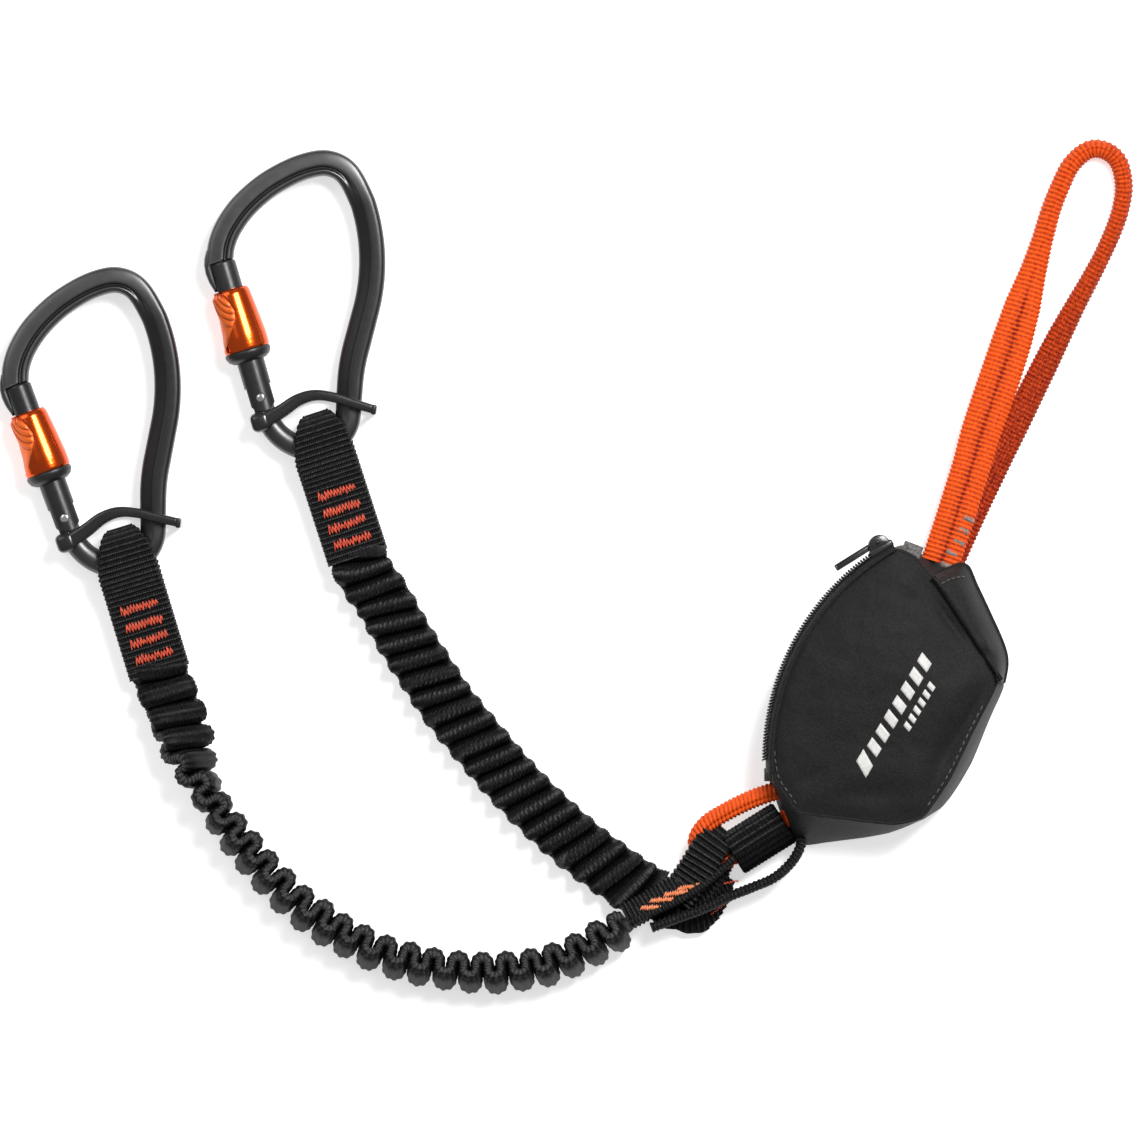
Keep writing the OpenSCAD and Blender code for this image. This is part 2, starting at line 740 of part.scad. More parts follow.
// Long pull tag on a pin held by the slider's two lugs
module zip_pull() {
    color(rubber) at_slider() {
        translate([pin_at, 0, -4]) cylinder(r = pin_r, h = 8);
        translate([pin_at - 1.1, 0, -1.8]) cube([2.2, 4, 3.6]);
        translate([pin_at - 0.9, 3.5, -2.2]) cube([1.8, 15.5, 4.4]);
    }
}

module top_tab() {
    color(tape_grey) translate([136, 5, 21]) rotate(-22) translate([-5.6, -1.2, 0]) cube([7.6, 4.8, 7]);
}

module side_tab() {
    color(tape_grey) translate([77.2, -83.8, 12]) cube([3.8, 5, 8]);
}

// ---------------------------------------------------------------- harness loop
module harness_loop() {
    color(orange_web) {
        tube(harness_left_route, harness_sizes, 8, 22.5);
        translate(harness_pivot) rotate(harness_turn) translate([-8, -6, -2.4]) cube([16.5, 12, 4.8]);
    }
}

// Grey bar tacks across the strands where they leave the pouch
module harness_tacks() {
    color(grey_thread) for (i = [0 : 4])
        translate([150.2 + 1.7 * i, 12.5 + 4.6 * i, 19.1 - 0.12 * i]) rotate(harness_turn)
            translate([0.4, -0.8, 0]) cube([4.4, 1.6, 0.5]);
}

// ---------------------------------------------------------------- nodes
module left_frame() place_left() frame();
module left_gate() place_left() gate();
module left_gate_rivet() place_left() gate_rivet();
module left_gate_plunger() place_left() gate_plunger();
module left_gate_spring() place_left() gate_spring();
module left_lock_sleeve() place_left() lock_sleeve();
module left_sleeve_cap() place_left() sleeve_cap();
module left_sleeve_spring() place_left() sleeve_spring();
module left_spring_ring() place_left() spring_ring();
module left_keeper() place_left() keeper();
module left_end_loop() {
    color(black_web) difference() {
        place_left_web() end_loop();
        place_left() basket_way();
    }
}

module left_end_webbing() place_left_web() end_webbing();
module left_end_tacks() place_left_web() end_tacks();
module left_arm_upper() arm_piece(left_route, left_sizes, 0, left_split);
module left_arm_lower() arm_piece(left_route, left_sizes, left_split, len(left_route) - 1);
module left_core_upper() core_piece(left_route, 2, left_split);
module left_core_lower() core_piece(left_route, left_split, len(left_route) - 3);
module left_tail() tail(left_tail_route, left_tail_size);
module left_tail_tacks() tail_tacks(left_tail_route, left_tail_size, 4, 20);

module right_frame() place_right() frame();
module right_gate() place_right() gate();
module right_gate_rivet() place_right() gate_rivet();
module right_gate_plunger() place_right() gate_plunger();
module right_gate_spring() place_right() gate_spring();
module right_lock_sleeve() place_right() lock_sleeve();
module right_sleeve_cap() place_right() sleeve_cap();
module right_sleeve_spring() place_right() sleeve_spring();
module right_spring_ring() place_right() spring_ring();
module right_keeper() place_right() keeper();
module right_end_loop() {
    color(black_web) difference() {
        place_right_web() end_loop();
        place_right() basket_way();
    }
}

module right_end_webbing() place_right_web() end_webbing();
module right_end_tacks() place_right_web() end_tacks();
module right_arm_upper() arm_piece(right_route, right_sizes, 0, right_split);
module right_arm_lower() arm_piece(right_route, right_sizes, right_split, len(right_route) - 1);
module right_core_upper() core_piece(right_route, 2, right_split);
module right_core_lower() core_piece(right_route, right_split, len(right_route) - 3);
module right_tail() tail(right_tail_route, right_tail_size);
module right_tail_tacks() tail_tacks(right_tail_route, right_tail_size, 3, 38);

left_frame();
left_gate();
left_gate_rivet();
left_gate_plunger();
left_gate_spring();
left_lock_sleeve();
left_sleeve_cap();
left_sleeve_spring();
left_spring_ring();
left_keeper();
left_end_loop();
left_end_webbing();
left_end_tacks();
left_arm_upper();
left_arm_lower();
left_core_upper();
left_core_lower();
left_tail();
left_tail_tacks();
right_frame();
right_gate();
right_gate_rivet();
right_gate_plunger();
right_gate_spring();
right_lock_sleeve();
right_sleeve_cap();
right_sleeve_spring();
right_spring_ring();
right_keeper();
right_end_loop();
right_end_webbing();
right_end_tacks();
right_arm_upper();
right_arm_lower();
right_core_upper();
right_core_lower();
right_tail();
right_tail_tacks();
absorber_loop();
band();
junction_eye();
rest_loop();
pouch_front();
pouch_gusset();
pouch_back();
tear_webbing();
zip_tape();
zip_coil();
zip_slider();
zip_pull();
top_tab();
side_tab();
harness_loop();
harness_tacks();
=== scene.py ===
"""Looks for the via ferrata lanyard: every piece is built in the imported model's frame.

Sizes are in millimetres until a mesh is made. The lanyard lies flat on the floor, face up,
and the camera looks straight down on it.
"""

import math

import bmesh
import bpy
import numpy as np
from mathutils import Matrix, Vector, noise


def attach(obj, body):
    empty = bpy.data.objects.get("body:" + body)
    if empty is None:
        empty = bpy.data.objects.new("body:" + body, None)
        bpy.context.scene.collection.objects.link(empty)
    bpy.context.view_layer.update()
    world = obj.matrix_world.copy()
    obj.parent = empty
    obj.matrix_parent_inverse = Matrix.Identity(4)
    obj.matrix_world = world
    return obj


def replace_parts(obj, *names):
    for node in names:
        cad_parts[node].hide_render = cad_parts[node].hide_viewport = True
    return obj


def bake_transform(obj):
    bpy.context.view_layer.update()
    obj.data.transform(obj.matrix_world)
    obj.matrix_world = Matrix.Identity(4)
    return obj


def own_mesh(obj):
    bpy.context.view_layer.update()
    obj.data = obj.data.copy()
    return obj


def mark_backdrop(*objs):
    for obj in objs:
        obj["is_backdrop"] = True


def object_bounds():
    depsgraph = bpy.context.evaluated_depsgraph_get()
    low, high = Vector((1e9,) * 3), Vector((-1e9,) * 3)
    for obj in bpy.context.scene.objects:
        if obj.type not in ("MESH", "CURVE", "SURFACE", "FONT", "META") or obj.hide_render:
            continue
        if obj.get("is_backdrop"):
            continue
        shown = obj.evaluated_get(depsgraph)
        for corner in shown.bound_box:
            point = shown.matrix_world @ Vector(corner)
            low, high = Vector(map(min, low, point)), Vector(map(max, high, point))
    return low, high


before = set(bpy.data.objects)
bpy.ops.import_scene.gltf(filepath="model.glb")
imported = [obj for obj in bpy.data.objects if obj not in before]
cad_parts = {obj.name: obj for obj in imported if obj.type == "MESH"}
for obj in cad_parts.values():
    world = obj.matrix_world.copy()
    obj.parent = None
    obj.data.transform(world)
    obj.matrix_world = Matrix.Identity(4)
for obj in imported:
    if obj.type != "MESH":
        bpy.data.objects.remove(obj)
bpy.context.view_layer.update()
MM = 0.001
UP = np.array([0.0, 0.0, 1.0])
TAU = 2 * math.pi

# ---------------------------------------------------------------- places shared with the CAD
PLANE_Z = 9.3
RIVET_AT = {"left": (-196.7, 19.2), "right": (-119.9, 66.4)}
GATE_TURN = {"left": 20.0, "right": 16.3}
GATE_REACH = 55.68
WEB_AT = {"left": (-173.0, 2.0), "right": (-96.0, 47.0)}
WEB_TURN = {"left": 17.0, "right": 18.0}
ZIP_CENTRE = np.array([174.0, -75.0])
ZIP_R = 94.2
ZIP_Z = 26.0
SLIDER_AT = 122.0

LEFT_ROUTE = [
    (-159.5, -42.5, 9.3), (-155, -53, 9.5), (-151.5, -63, 10), (-148.5, -72, 10.8), (-144.5, -82, 11.6),
    (-139, -92, 12.4), (-132.5, -102, 12.7), (-125, -111.5, 12.8), (-117, -121, 12.7), (-108, -130, 12.6),
    (-97, -138.5, 12.5), (-85, -146, 12.5), (-72, -152, 12.5), (-58, -156, 12.5), (-43, -158.5, 12.5),
    (-28, -159, 12.5), (-13, -157.5, 12.5), (0, -153.5, 12.5), (11, -148, 12.5), (19.5, -142, 12.4),
    (23.5, -138.5, 12.2),
]
RIGHT_ROUTE = [
    (-81.8, 3.3, 9.3), (-80.2, -1.2, 9.1), (-76.6, -6.6, 8.8),
    (-72, -13, 8.5), (-66.5, -23, 8.2), (-60.5, -33, 8), (-54, -43, 8),
    (-47.5, -53, 8), (-40, -62.5, 8), (-32, -72, 8), (-23.5, -82, 8), (-14, -92, 8), (-4, -101.5, 8),
    (7, -111, 8), (18.5, -119.5, 7.6), (27, -125.5, 6.0), (34.5, -129.8, 5.3),
]


# ---------------------------------------------------------------- small geometry helpers
def place(xy, turn, z=PLANE_Z):
    """Matrix from a local frame, turned by turn degrees about Z, to the row frame, in mm."""
    return Matrix.Translation((xy[0], xy[1], z)) @ Matrix.Rotation(math.radians(turn), 4, "Z")


def unit(v):
    return v / np.maximum(np.linalg.norm(v, axis=-1, keepdims=True), 1e-12)


def smoothstep(x, low=0.0, high=1.0):
    t = np.clip((np.asarray(x, float) - low) / (high - low), 0, 1)
    return t * t * (3 - 2 * t)


def through(points, t, closed=False):
    """Catmull-Rom curves between neighbouring points, each read at the shares t."""
    p = np.asarray(points, float)
    if closed:
        p = np.vstack([p[-1], p, p[0], p[1]])
    else:
        p = np.vstack([2 * p[0] - p[1], p, 2 * p[-1] - p[-2]])
    t = np.asarray(t)[:, None]
    for a, b, c, d in zip(p[:-3], p[1:-2], p[2:-1], p[3:]):
        curve = 0.5 * (2 * b + (c - a) * t + (2 * a - 5 * b + 4 * c - d) * t**2 + (3 * b - a - 3 * c + d) * t**3)
        yield b, c, t, curve


def spline(points, step=1.0, closed=False):
    """Smooth curve through the points, resampled to about step mm."""
    curves = [curve for *_, curve in through(points, np.linspace(0, 1, 16, endpoint=False), closed)]
    last = curves[0][:1] if closed else np.asarray(points, float)[-1:]
    dense = np.vstack(curves + [last])
    count = max(2, int(round(arc(dense)[-1] / step)) + 1)
    even = resampled(dense, count)
    return even[:-1] if closed else even


def resampled(line, count):
    """A polyline's points, moved so that count of them lie evenly along it."""
    s = arc(line)
    at = np.linspace(0, s[-1], count)
    return np.stack([np.interp(at, s, line[:, k]) for k in range(line.shape[1])], 1)


def arc(points):
    """Distance along a polyline at each of its points."""
    return np.concatenate([[0], np.cumsum(np.linalg.norm(np.diff(points, axis=0), axis=1))])


def frames(path, closed=False):
    """Travel, across (horizontal, to the left) and upward directions at each point of a path."""
    if closed:
        along = unit(np.roll(path, -1, 0) - np.roll(path, 1, 0))
    else:
        along = unit(np.gradient(path, axis=0))
    across = unit(np.cross(UP, along))
    return along, across, np.cross(along, across)


def link(name, mesh, material=None):
    obj = bpy.data.objects.new(name, mesh)
    bpy.context.scene.collection.objects.link(obj)
    if material:
        mesh.materials.append(material)
    return obj


def make_object(name, verts, faces, uvs=None, material=None):
    """Smooth mesh object from points in mm, and loop UVs in mm where given."""
    mesh = bpy.data.meshes.new(name)
    mesh.from_pydata((np.asarray(verts) * MM).tolist(), [], [list(f) for f in faces])
    if uvs is not None:
        mesh.uv_layers.new(name="UVMap").data.foreach_set("uv", (np.asarray(uvs, float) * MM).ravel())
    mesh.validate()
    mesh.shade_smooth()
    return link(name, mesh, material)


def grid_faces(rows, cols, wrap_cols, wrap_rows=False, base=0):
    r = np.arange(rows if wrap_rows else rows - 1)
    c = np.arange(cols if wrap_cols else cols - 1)
    r, c = np.meshgrid(r, c, indexing="ij")
    r2, c2 = (r + 1) % rows, (c + 1) % cols
    return base + np.stack([r * cols + c, r * cols + c2, r2 * cols + c2, r2 * cols + c], -1).reshape(-1, 4)


def grid_uvs(rows, cols, u, v, wrap_cols, wrap_rows=False):
    """Loop UVs for grid_faces: u has one value a column (plus one if it wraps), v one a row."""
    nr = rows if wrap_rows else rows - 1
    nc = cols if wrap_cols else cols - 1
    r, c = np.meshgrid(np.arange(nr), np.arange(nc), indexing="ij")
    corner = [(r, c), (r, c + 1), (r + 1, c + 1), (r + 1, c)]
    return np.stack([np.stack([u[cc], v[rr]], -1) for rr, cc in corner], -2).reshape(-1, 2)


def tube_object(name, rings, material, closed=False, u=None, v=None):
    """Object from rings of points, rings[i][k], joined into a tube; open ends are capped with fans."""
    rings = np.asarray(rings, float)
    rows, cols = rings.shape[:2]
    if u is None:
        middle = rings[rows // 2]
        u = np.concatenate([[0], np.cumsum(np.linalg.norm(np.roll(middle, -1, 0) - middle, axis=1))])
    if v is None:
        v = arc(rings.mean(1))
        if closed:
            v = np.append(v, v[-1] + np.linalg.norm(rings[0].mean(0) - rings[-1].mean(0)))
    faces = grid_faces(rows, cols, True, closed).tolist()
    uvs = [grid_uvs(rows, cols, u, v, True, closed)]
    verts = [rings.reshape(-1, 3)]
    for row in () if closed else (0, rows - 1):
        centre = rows * cols + (row > 0)
        verts.append(rings[row].mean(0)[None])
        for k in range(cols):
            a, b = row * cols + k, row * cols + (k + 1) % cols
            faces.append([centre, a, b] if row else [centre, b, a])
            uvs.append(np.array([[u[k], v[row]]] * 3))
    return make_object(name, np.vstack(verts), faces, np.vstack(uvs), material)


def painted(obj, values):
    """Stores a value for each point as "crest": a woven finish is paler where it is high and darker where it is low,
    as painted highlight and shade, and a dyed alloy is darker where it is high, as painted shade.
    """
    values = np.asarray(values, float).ravel()
    full = np.full(len(obj.data.vertices), float(np.median(values)))
    full[: len(values)] = values[: len(full)]
    obj.data.attributes.new("crest", "FLOAT", "POINT").data.foreach_set("value", full)
    return obj


def outward(obj):
    """Points every face of a closed mesh outwards."""
    bm = bmesh.new()
    bm.from_mesh(obj.data)
    bmesh.ops.recalc_face_normals(bm, faces=bm.faces)
    bm.to_mesh(obj.data)
    bm.free()
    return obj


def joined(name, objects):
    """Several new objects made into one; their materials are kept."""
    bpy.ops.object.select_all(action="DESELECT")
    for o in objects:
        o.select_set(True)
    bpy.context.view_layer.objects.active = objects[0]
    bpy.ops.object.join()
    objects[0].name = objects[0].data.name = name
    return objects[0]


def stadium(width, height, count):
    """Closed flat outline with round ends, as (x, y) points, counter-clockwise."""
    r, straight = height / 2, width - height
    half = straight + math.pi * r
    out = []
    for s in np.arange(count) / count * 2 * half:
        sign, s = (1, s) if s < half else (-1, s - half)
        a = math.pi / 2 + max(0, s - straight) / r
        x = straight / 2 - min(s, straight)
        out.append((sign * (x + r * math.cos(a)), sign * r * math.sin(a)))
    return np.array(out)


def rolled(across, up, roll):
    """Side and top directions of a path whose section is rolled by roll degrees at each point."""
    turn = np.radians(roll)[:, None]
    return across * np.cos(turn) + up * np.sin(turn), up * np.cos(turn) - across * np.sin(turn)


def section_rings(path, side, top, x, y):
    """Rings of points round a path, from the (x, y) sections in its side and top directions."""
    return path[:, None] + side[:, None] * x[..., None] + top[:, None] * y[..., None]


def sweep(name, path, outline, material, scale, closed=False):
    """Sweeps an (across, up) outline along a path. scale is (width, height), for each point or for all."""
    path = np.asarray(path, float)
    _, across, up = frames(path, closed)
    scale = np.broadcast_to(np.asarray(scale, float), (len(path), 2))
    x, y = (outline[None, :, k] * scale[:, k, None] for k in (0, 1))
    return tube_object(name, section_rings(path, across, up, x, y), material, closed)


# ---------------------------------------------------------------- materials
def nodes_of(name):
    m = bpy.data.materials.new(name)
    m.use_nodes = True
    tree = m.node_tree
    return m, tree, tree.nodes["Principled BSDF"]


def add(tree, kind, links=(), **values):
    """A shader node: values named after its inputs or properties, links as (input, socket) pairs."""
    n = tree.nodes.new(kind)
    for key, value in values.items():
        if hasattr(n, key):
            setattr(n, key, value)
        else:
            n.inputs[key.replace("_", " ")].default_value = value
    for key, socket in links:
        tree.links.new(socket, n.inputs[key])
    return n


def ramp(tree, fac, *stops):
    n = add(tree, "ShaderNodeValToRGB", [("Fac", fac)])
    while len(n.color_ramp.elements) < len(stops):
        n.color_ramp.elements.new(0.5)
    for e, (pos, colour) in zip(n.color_ramp.elements, stops):
        e.position = pos
        e.color = (*colour, 1)
    return n.outputs["Color"]


def maths(tree, operation, *terms):
    """A maths node; each term is a socket or a number."""
    n = add(tree, "ShaderNodeMath", operation=operation)
    for k, term in enumerate(terms):
        if isinstance(term, (int, float)):
            n.inputs[k].default_value = term
        else:
            tree.links.new(term, n.inputs[k])
    return n.outputs[0]


def ripple(tree, socket, period):
    return maths(tree, "SINE", maths(tree, "MULTIPLY", socket, TAU / period))


def crest_of(tree):
    return add(tree, "ShaderNodeAttribute", attribute_name="crest").outputs["Fac"]


def object_noise(tree, scale, detail=3.0, rough=0.55):
    where = add(tree, "ShaderNodeTexCoord").outputs["Object"]
    n = add(tree, "ShaderNodeTexNoise", [("Vector", where)], Scale=scale, Detail=detail, Roughness=rough)
    return n.outputs["Fac"]


def spread(tree, fac, low, high, src=(0.3, 0.7)):
    """Maps a value from the range src to low..high."""
    limits = dict(From_Min=src[0], From_Max=src[1], To_Min=low, To_Max=high)
    return add(tree, "ShaderNodeMapRange", [("Value", fac)], **limits).outputs["Result"]


def bump(tree, bsdf, height, distance, strength=1.0):
    n = add(tree, "ShaderNodeBump", [("Height", height)], Distance=distance, Strength=strength)
    tree.links.new(n.outputs["Normal"], bsdf.inputs["Normal"])


def plain(name, dark, light, rough, metallic=0.0, scale=60, grain=900, depth=0.00002, coat=0.0, sheen=0.0):
    """Finish whose colour, roughness and surface all vary a little with noise."""
    m, tree, bsdf = nodes_of(name)
    broad = object_noise(tree, scale)
    fine = object_noise(tree, grain, 2.0)
    tree.links.new(ramp(tree, broad, (0.35, dark), (0.65, light)), bsdf.inputs["Base Color"])
    tree.links.new(spread(tree, fine, rough * 0.88, rough * 1.14), bsdf.inputs["Roughness"])
    bsdf.inputs["Metallic"].default_value = metallic
    bsdf.inputs["Coat Weight"].default_value = coat
    bsdf.inputs["Coat Roughness"].default_value = 0.12
    bsdf.inputs["Sheen Weight"].default_value = sheen
    bump(tree, bsdf, fine, depth)
    return m


def thread(name, dark, light, rough):
    return plain(name, dark, light, rough, 0.0, 700, 1500, 0.00005, 0, 0.1)


def woven(name, dark, light, across=0.0009, along=0.0, depth=0.00012, rough=0.6, crest=0.0, shine=0.16,
          thread=0.25, mid=0.16):
    """Webbing: fine threads across the width and along it, from the piece's own UVs in metres.

    With crest, the piece's own "crest" values make its ribs and folds paler than its valleys, as painted highlight
    on the tops and painted shade in the valleys.
    """
    m, tree, bsdf = nodes_of(name)
    uv = add(tree, "ShaderNodeUVMap", uv_map="UVMap").outputs["UV"]
    part = add(tree, "ShaderNodeSeparateXYZ", [("Vector", uv)])
    wobble = spread(tree, object_noise(tree, 500, 2.0), 0, 3)
    phase = maths(tree, "ADD", maths(tree, "MULTIPLY", part.outputs["X"], TAU / across), wobble)
    signal = maths(tree, "MULTIPLY_ADD", maths(tree, "SINE", phase), thread, 0.5)
    if along:
        signal = maths(tree, "MULTIPLY_ADD", ripple(tree, part.outputs["Y"], along), 0.22, signal)
    tone = maths(tree, "MULTIPLY", object_noise(tree, 900, 2.0), signal)
    if crest:
        tone = maths(tree, "MULTIPLY_ADD", crest_of(tree), crest, tone)
        middle = tuple((1 - mid) * d + mid * l for d, l in zip(dark, light))
        colour = ramp(tree, tone, (0.2, dark), (0.5, middle), (0.8, light))
    else:
        colour = ramp(tree, tone, (0.14, dark), (0.52, light))
    tree.links.new(colour, bsdf.inputs["Base Color"])
    bsdf.inputs["Roughness"].default_value = rough
    bsdf.inputs["Specular IOR Level"].default_value = shine
    bump(tree, bsdf, signal, depth)
    return m


def anodised(name, groove, dark, light, rough, metallic, coat):
    """Dyed alloy: smooth and glossy, and of the groove's colour, a painted shade, where the piece's "crest" is high.
    """
    m, tree, bsdf = nodes_of(name)
    broad = ramp(tree, object_noise(tree, 40), (0.35, dark), (0.65, light))
    mix = add(tree, "ShaderNodeMix", data_type="RGBA")
    factor, first, second = mix.inputs[0], mix.inputs[6], mix.inputs[7]
    tree.links.new(crest_of(tree), factor)
    tree.links.new(broad, first)
    second.default_value = (*groove, 1)
    tree.links.new(mix.outputs[2], bsdf.inputs["Base Color"])
    fine = object_noise(tree, 300, 2.0)
    tree.links.new(spread(tree, fine, rough * 0.95, rough * 1.06), bsdf.inputs["Roughness"])
    bsdf.inputs["Metallic"].default_value = metallic
    bsdf.inputs["Coat Weight"].default_value = coat
    bsdf.inputs["Coat Roughness"].default_value = 0.1
    return m


def fabric_material():
    """Dark pouch fabric with a fine plain weave."""
    m, tree, bsdf = nodes_of("pouch_fabric")
    where = add(tree, "ShaderNodeTexCoord").outputs["Object"]
    part = add(tree, "ShaderNodeSeparateXYZ", [("Vector", where)])
    weave = maths(tree, "MULTIPLY", *[ripple(tree, part.outputs[axis], 0.0011) for axis in ("X", "Y")])
    grain = maths(tree, "MULTIPLY_ADD", weave, 0.22, object_noise(tree, 1400, 2.0))
    colour = ramp(tree, grain, (0.2, (0.004, 0.0039, 0.004)), (0.8, (0.021, 0.02, 0.0196)))
    tree.links.new(colour, bsdf.inputs["Base Color"])
    bsdf.inputs["Roughness"].default_value = 0.62
    bsdf.inputs["Sheen Weight"].default_value = 0.03
    bsdf.inputs["Specular IOR Level"].default_value = 0.13
    bump(tree, bsdf, grain, 0.00012)
    return m


MATERIALS = [
    fabric_material(),
    # Each alloy's first colour is a painted shade, used where its "crest" is high: on the frame's spine, in the
    # sleeve's ripples and along the scoop's edge
    anodised("black_alloy", (0.028, 0.027, 0.028), (0.08, 0.08, 0.082), (0.1, 0.1, 0.102), 0.34, 0.85, 0.0),
    anodised("orange_alloy", (0.2, 0.012, 0.001), (0.62, 0.06, 0.003), (0.72, 0.085, 0.004), 0.2, 0.95, 0.3),
    anodised("orange_scoop", (0.16, 0.008, 0.001), (0.86, 0.125, 0.01), (0.92, 0.155, 0.013), 0.42, 0.3, 0.0),
    plain("gate_black", (0.03, 0.03, 0.032), (0.042, 0.042, 0.044), 0.32, 0.6, 30, 500, 0.000001),
    plain("steel", (0.6, 0.6, 0.61), (0.75, 0.75, 0.76), 0.2, 1.0, 80, 1200, 0.00001),
    plain("rubber", (0.006, 0.006, 0.0065), (0.012, 0.012, 0.013), 0.26, 0.0, 60, 900, 0.00003, 0.3),
    plain("cap_rubber", (0.007, 0.007, 0.0075), (0.013, 0.013, 0.014), 0.4, 0.0, 60, 1200, 0.00003),
    plain("black_plastic", (0.008, 0.008, 0.009), (0.015, 0.015, 0.016), 0.28, 0.0, 60, 900, 0.00002, 0.2),
    plain("print_pale", (0.55, 0.545, 0.53), (0.68, 0.67, 0.65), 0.6, 0.0, 900, 1500, 0.00004),
    # With crest, a webbing's ribs and folds are painted paler as painted highlight, and its valleys darker as
    # painted shade
    woven("black_webbing", (0.002, 0.002, 0.0023), (0.062, 0.062, 0.064), crest=0.36, shine=0.11, rough=0.5),
    woven("pleat_webbing", (0.0014, 0.0014, 0.0016), (0.085, 0.083, 0.085), depth=0.00006, crest=0.36,
          shine=0.1, rough=0.5, thread=0.12),
    woven("orange_webbing", (0.17, 0.007, 0.002), (0.95, 0.115, 0.01), crest=0.4, thread=0.08, mid=0.7),
    woven("grey_tape", (0.035, 0.035, 0.036), (0.2, 0.195, 0.19), 0.0014, 0.0014, 0.0002),
    woven("zip_tape", (0.006, 0.006, 0.0065), (0.022, 0.022, 0.023), 0.0008, 0.0008, 0.00008),
    thread("red_thread", (0.42, 0.035, 0.012), (0.75, 0.09, 0.035), 0.5),
    thread("pale_thread", (0.7, 0.16, 0.05), (0.85, 0.3, 0.13), 0.5),
    thread("grey_thread", (0.14, 0.11, 0.1), (0.28, 0.23, 0.2), 0.6),
    thread("seam_thread", (0.045, 0.042, 0.04), (0.1, 0.092, 0.086), 0.6),
]
# The CAD has materials of the same names, so Blender adds a number to these
M = {m.name.split(".")[0]: m for m in MATERIALS}


# ---------------------------------------------------------------- carabiners
def bar_route(step=0.6):
    """Centreline of the forged bar in the carabiner's frame, as (x, y, heading in degrees)."""
    # (radius, turn in degrees), or (length, 0) for a straight leg; the last legs only lead to the shoulder
    legs = [(19.5, 70), (14, 90), (12, 0), (75, -11), (15.5, 0), (75, 37.5), (14, 98), (29, 0), (18.5, 75.5)]
    x, y, heading = 0.0, -6.2, -90.0
    out = [(x, y, heading)]
    for radius, turn in legs:
        length = radius * math.radians(abs(turn)) if turn else radius
        count = max(1, int(length / step))
        chord = 2 * radius * math.sin(math.radians(abs(turn) / count) / 2) if turn else length / count
        for _ in range(count):
            mid = math.radians(heading + turn / count / 2)
            x += chord * math.cos(mid)
            y += chord * math.sin(mid)
            heading += turn / count
            out.append((x, y, heading))
    out = np.array(out)
    # Past the shoulder the bow is one long curve, which comes down beside the gate
    spine = out[: np.argmax(out[:, 1] > 62.0)]
    bow = [
        (58.2, 71.5), (55.6, 77.2), (50.6, 81.0), (44.0, 82.2), (35.4, 81.6), (25.0, 79.0), (14.8, 74.2),
        (7.2, 68.4), (2.4, 62.6), (-0.2, 56.8), (-1.0, 52.5),
    ]
    way = spline([spine[-8, :2], spine[-1, :2]] + [np.array(q) for q in bow], step)
    way = way[np.argmin(np.linalg.norm(way - spine[-1, :2], axis=1)) + 1 :]
    turn = np.degrees(np.unwrap(np.arctan2(*np.gradient(way, axis=0).T[::-1])))
    turn += 360 * round((spine[-1, 2] - turn[0]) / 360)
    return np.vstack([spine, np.column_stack([way, turn])])


# Half sections from the outer edge over the top to the inner edge: (share of half width, height)
BOW = [
    (1, 0), (1, 1.5), (0.98, 2.6), (0.93, 3.4), (0.86, 3.95), (0.76, 4.22), (0.6, 4.44), (0.4, 4.6), (0.2, 4.7),
    (0.0, 4.75), (-0.14, 4.75), (-0.22, 4.65), (-0.27, 4.3), (-0.3, 3.6), (-0.33, 3.1), (-0.38, 2.95),
    (-0.43, 3.1), (-0.47, 3.5), (-0.52, 3.9), (-0.6, 4.15), (-0.7, 4.1), (-0.8, 3.8), (-0.9, 3.2), (-0.97, 2.3),
    (-1, 1.2), (-1, 0),
]
SPINE = [
    (1, 0), (1, 1.4), (0.985, 2.6), (0.94, 3.5), (0.86, 4.2), (0.75, 4.6), (0.62, 4.78), (0.45, 4.84), (0.3, 4.85),
    (0.18, 4.85), (0.08, 4.84), (0.0, 4.8), (-0.06, 4.68), (-0.11, 4.5), (-0.18, 4.2), (-0.27, 3.9), (-0.37, 3.6),
    (-0.47, 3.28), (-0.57, 2.96), (-0.67, 2.62), (-0.77, 2.25), (-0.86, 1.85), (-0.93, 1.4), (-0.98, 0.85),
    (-1, 0.4), (-1, 0),
]
ROUND = [(math.cos(a), 4.6 * math.sin(a) ** 0.85) for a in np.linspace(0.0, math.pi - 1e-9, 26)]


def finer(half, per=2):
    p = np.array(half)
    t = np.linspace(0, len(p) - 1, (len(p) - 1) * per + 1)
    return np.stack([np.interp(t, np.arange(len(p)), p[:, k]) for k in (0, 1)], 1)


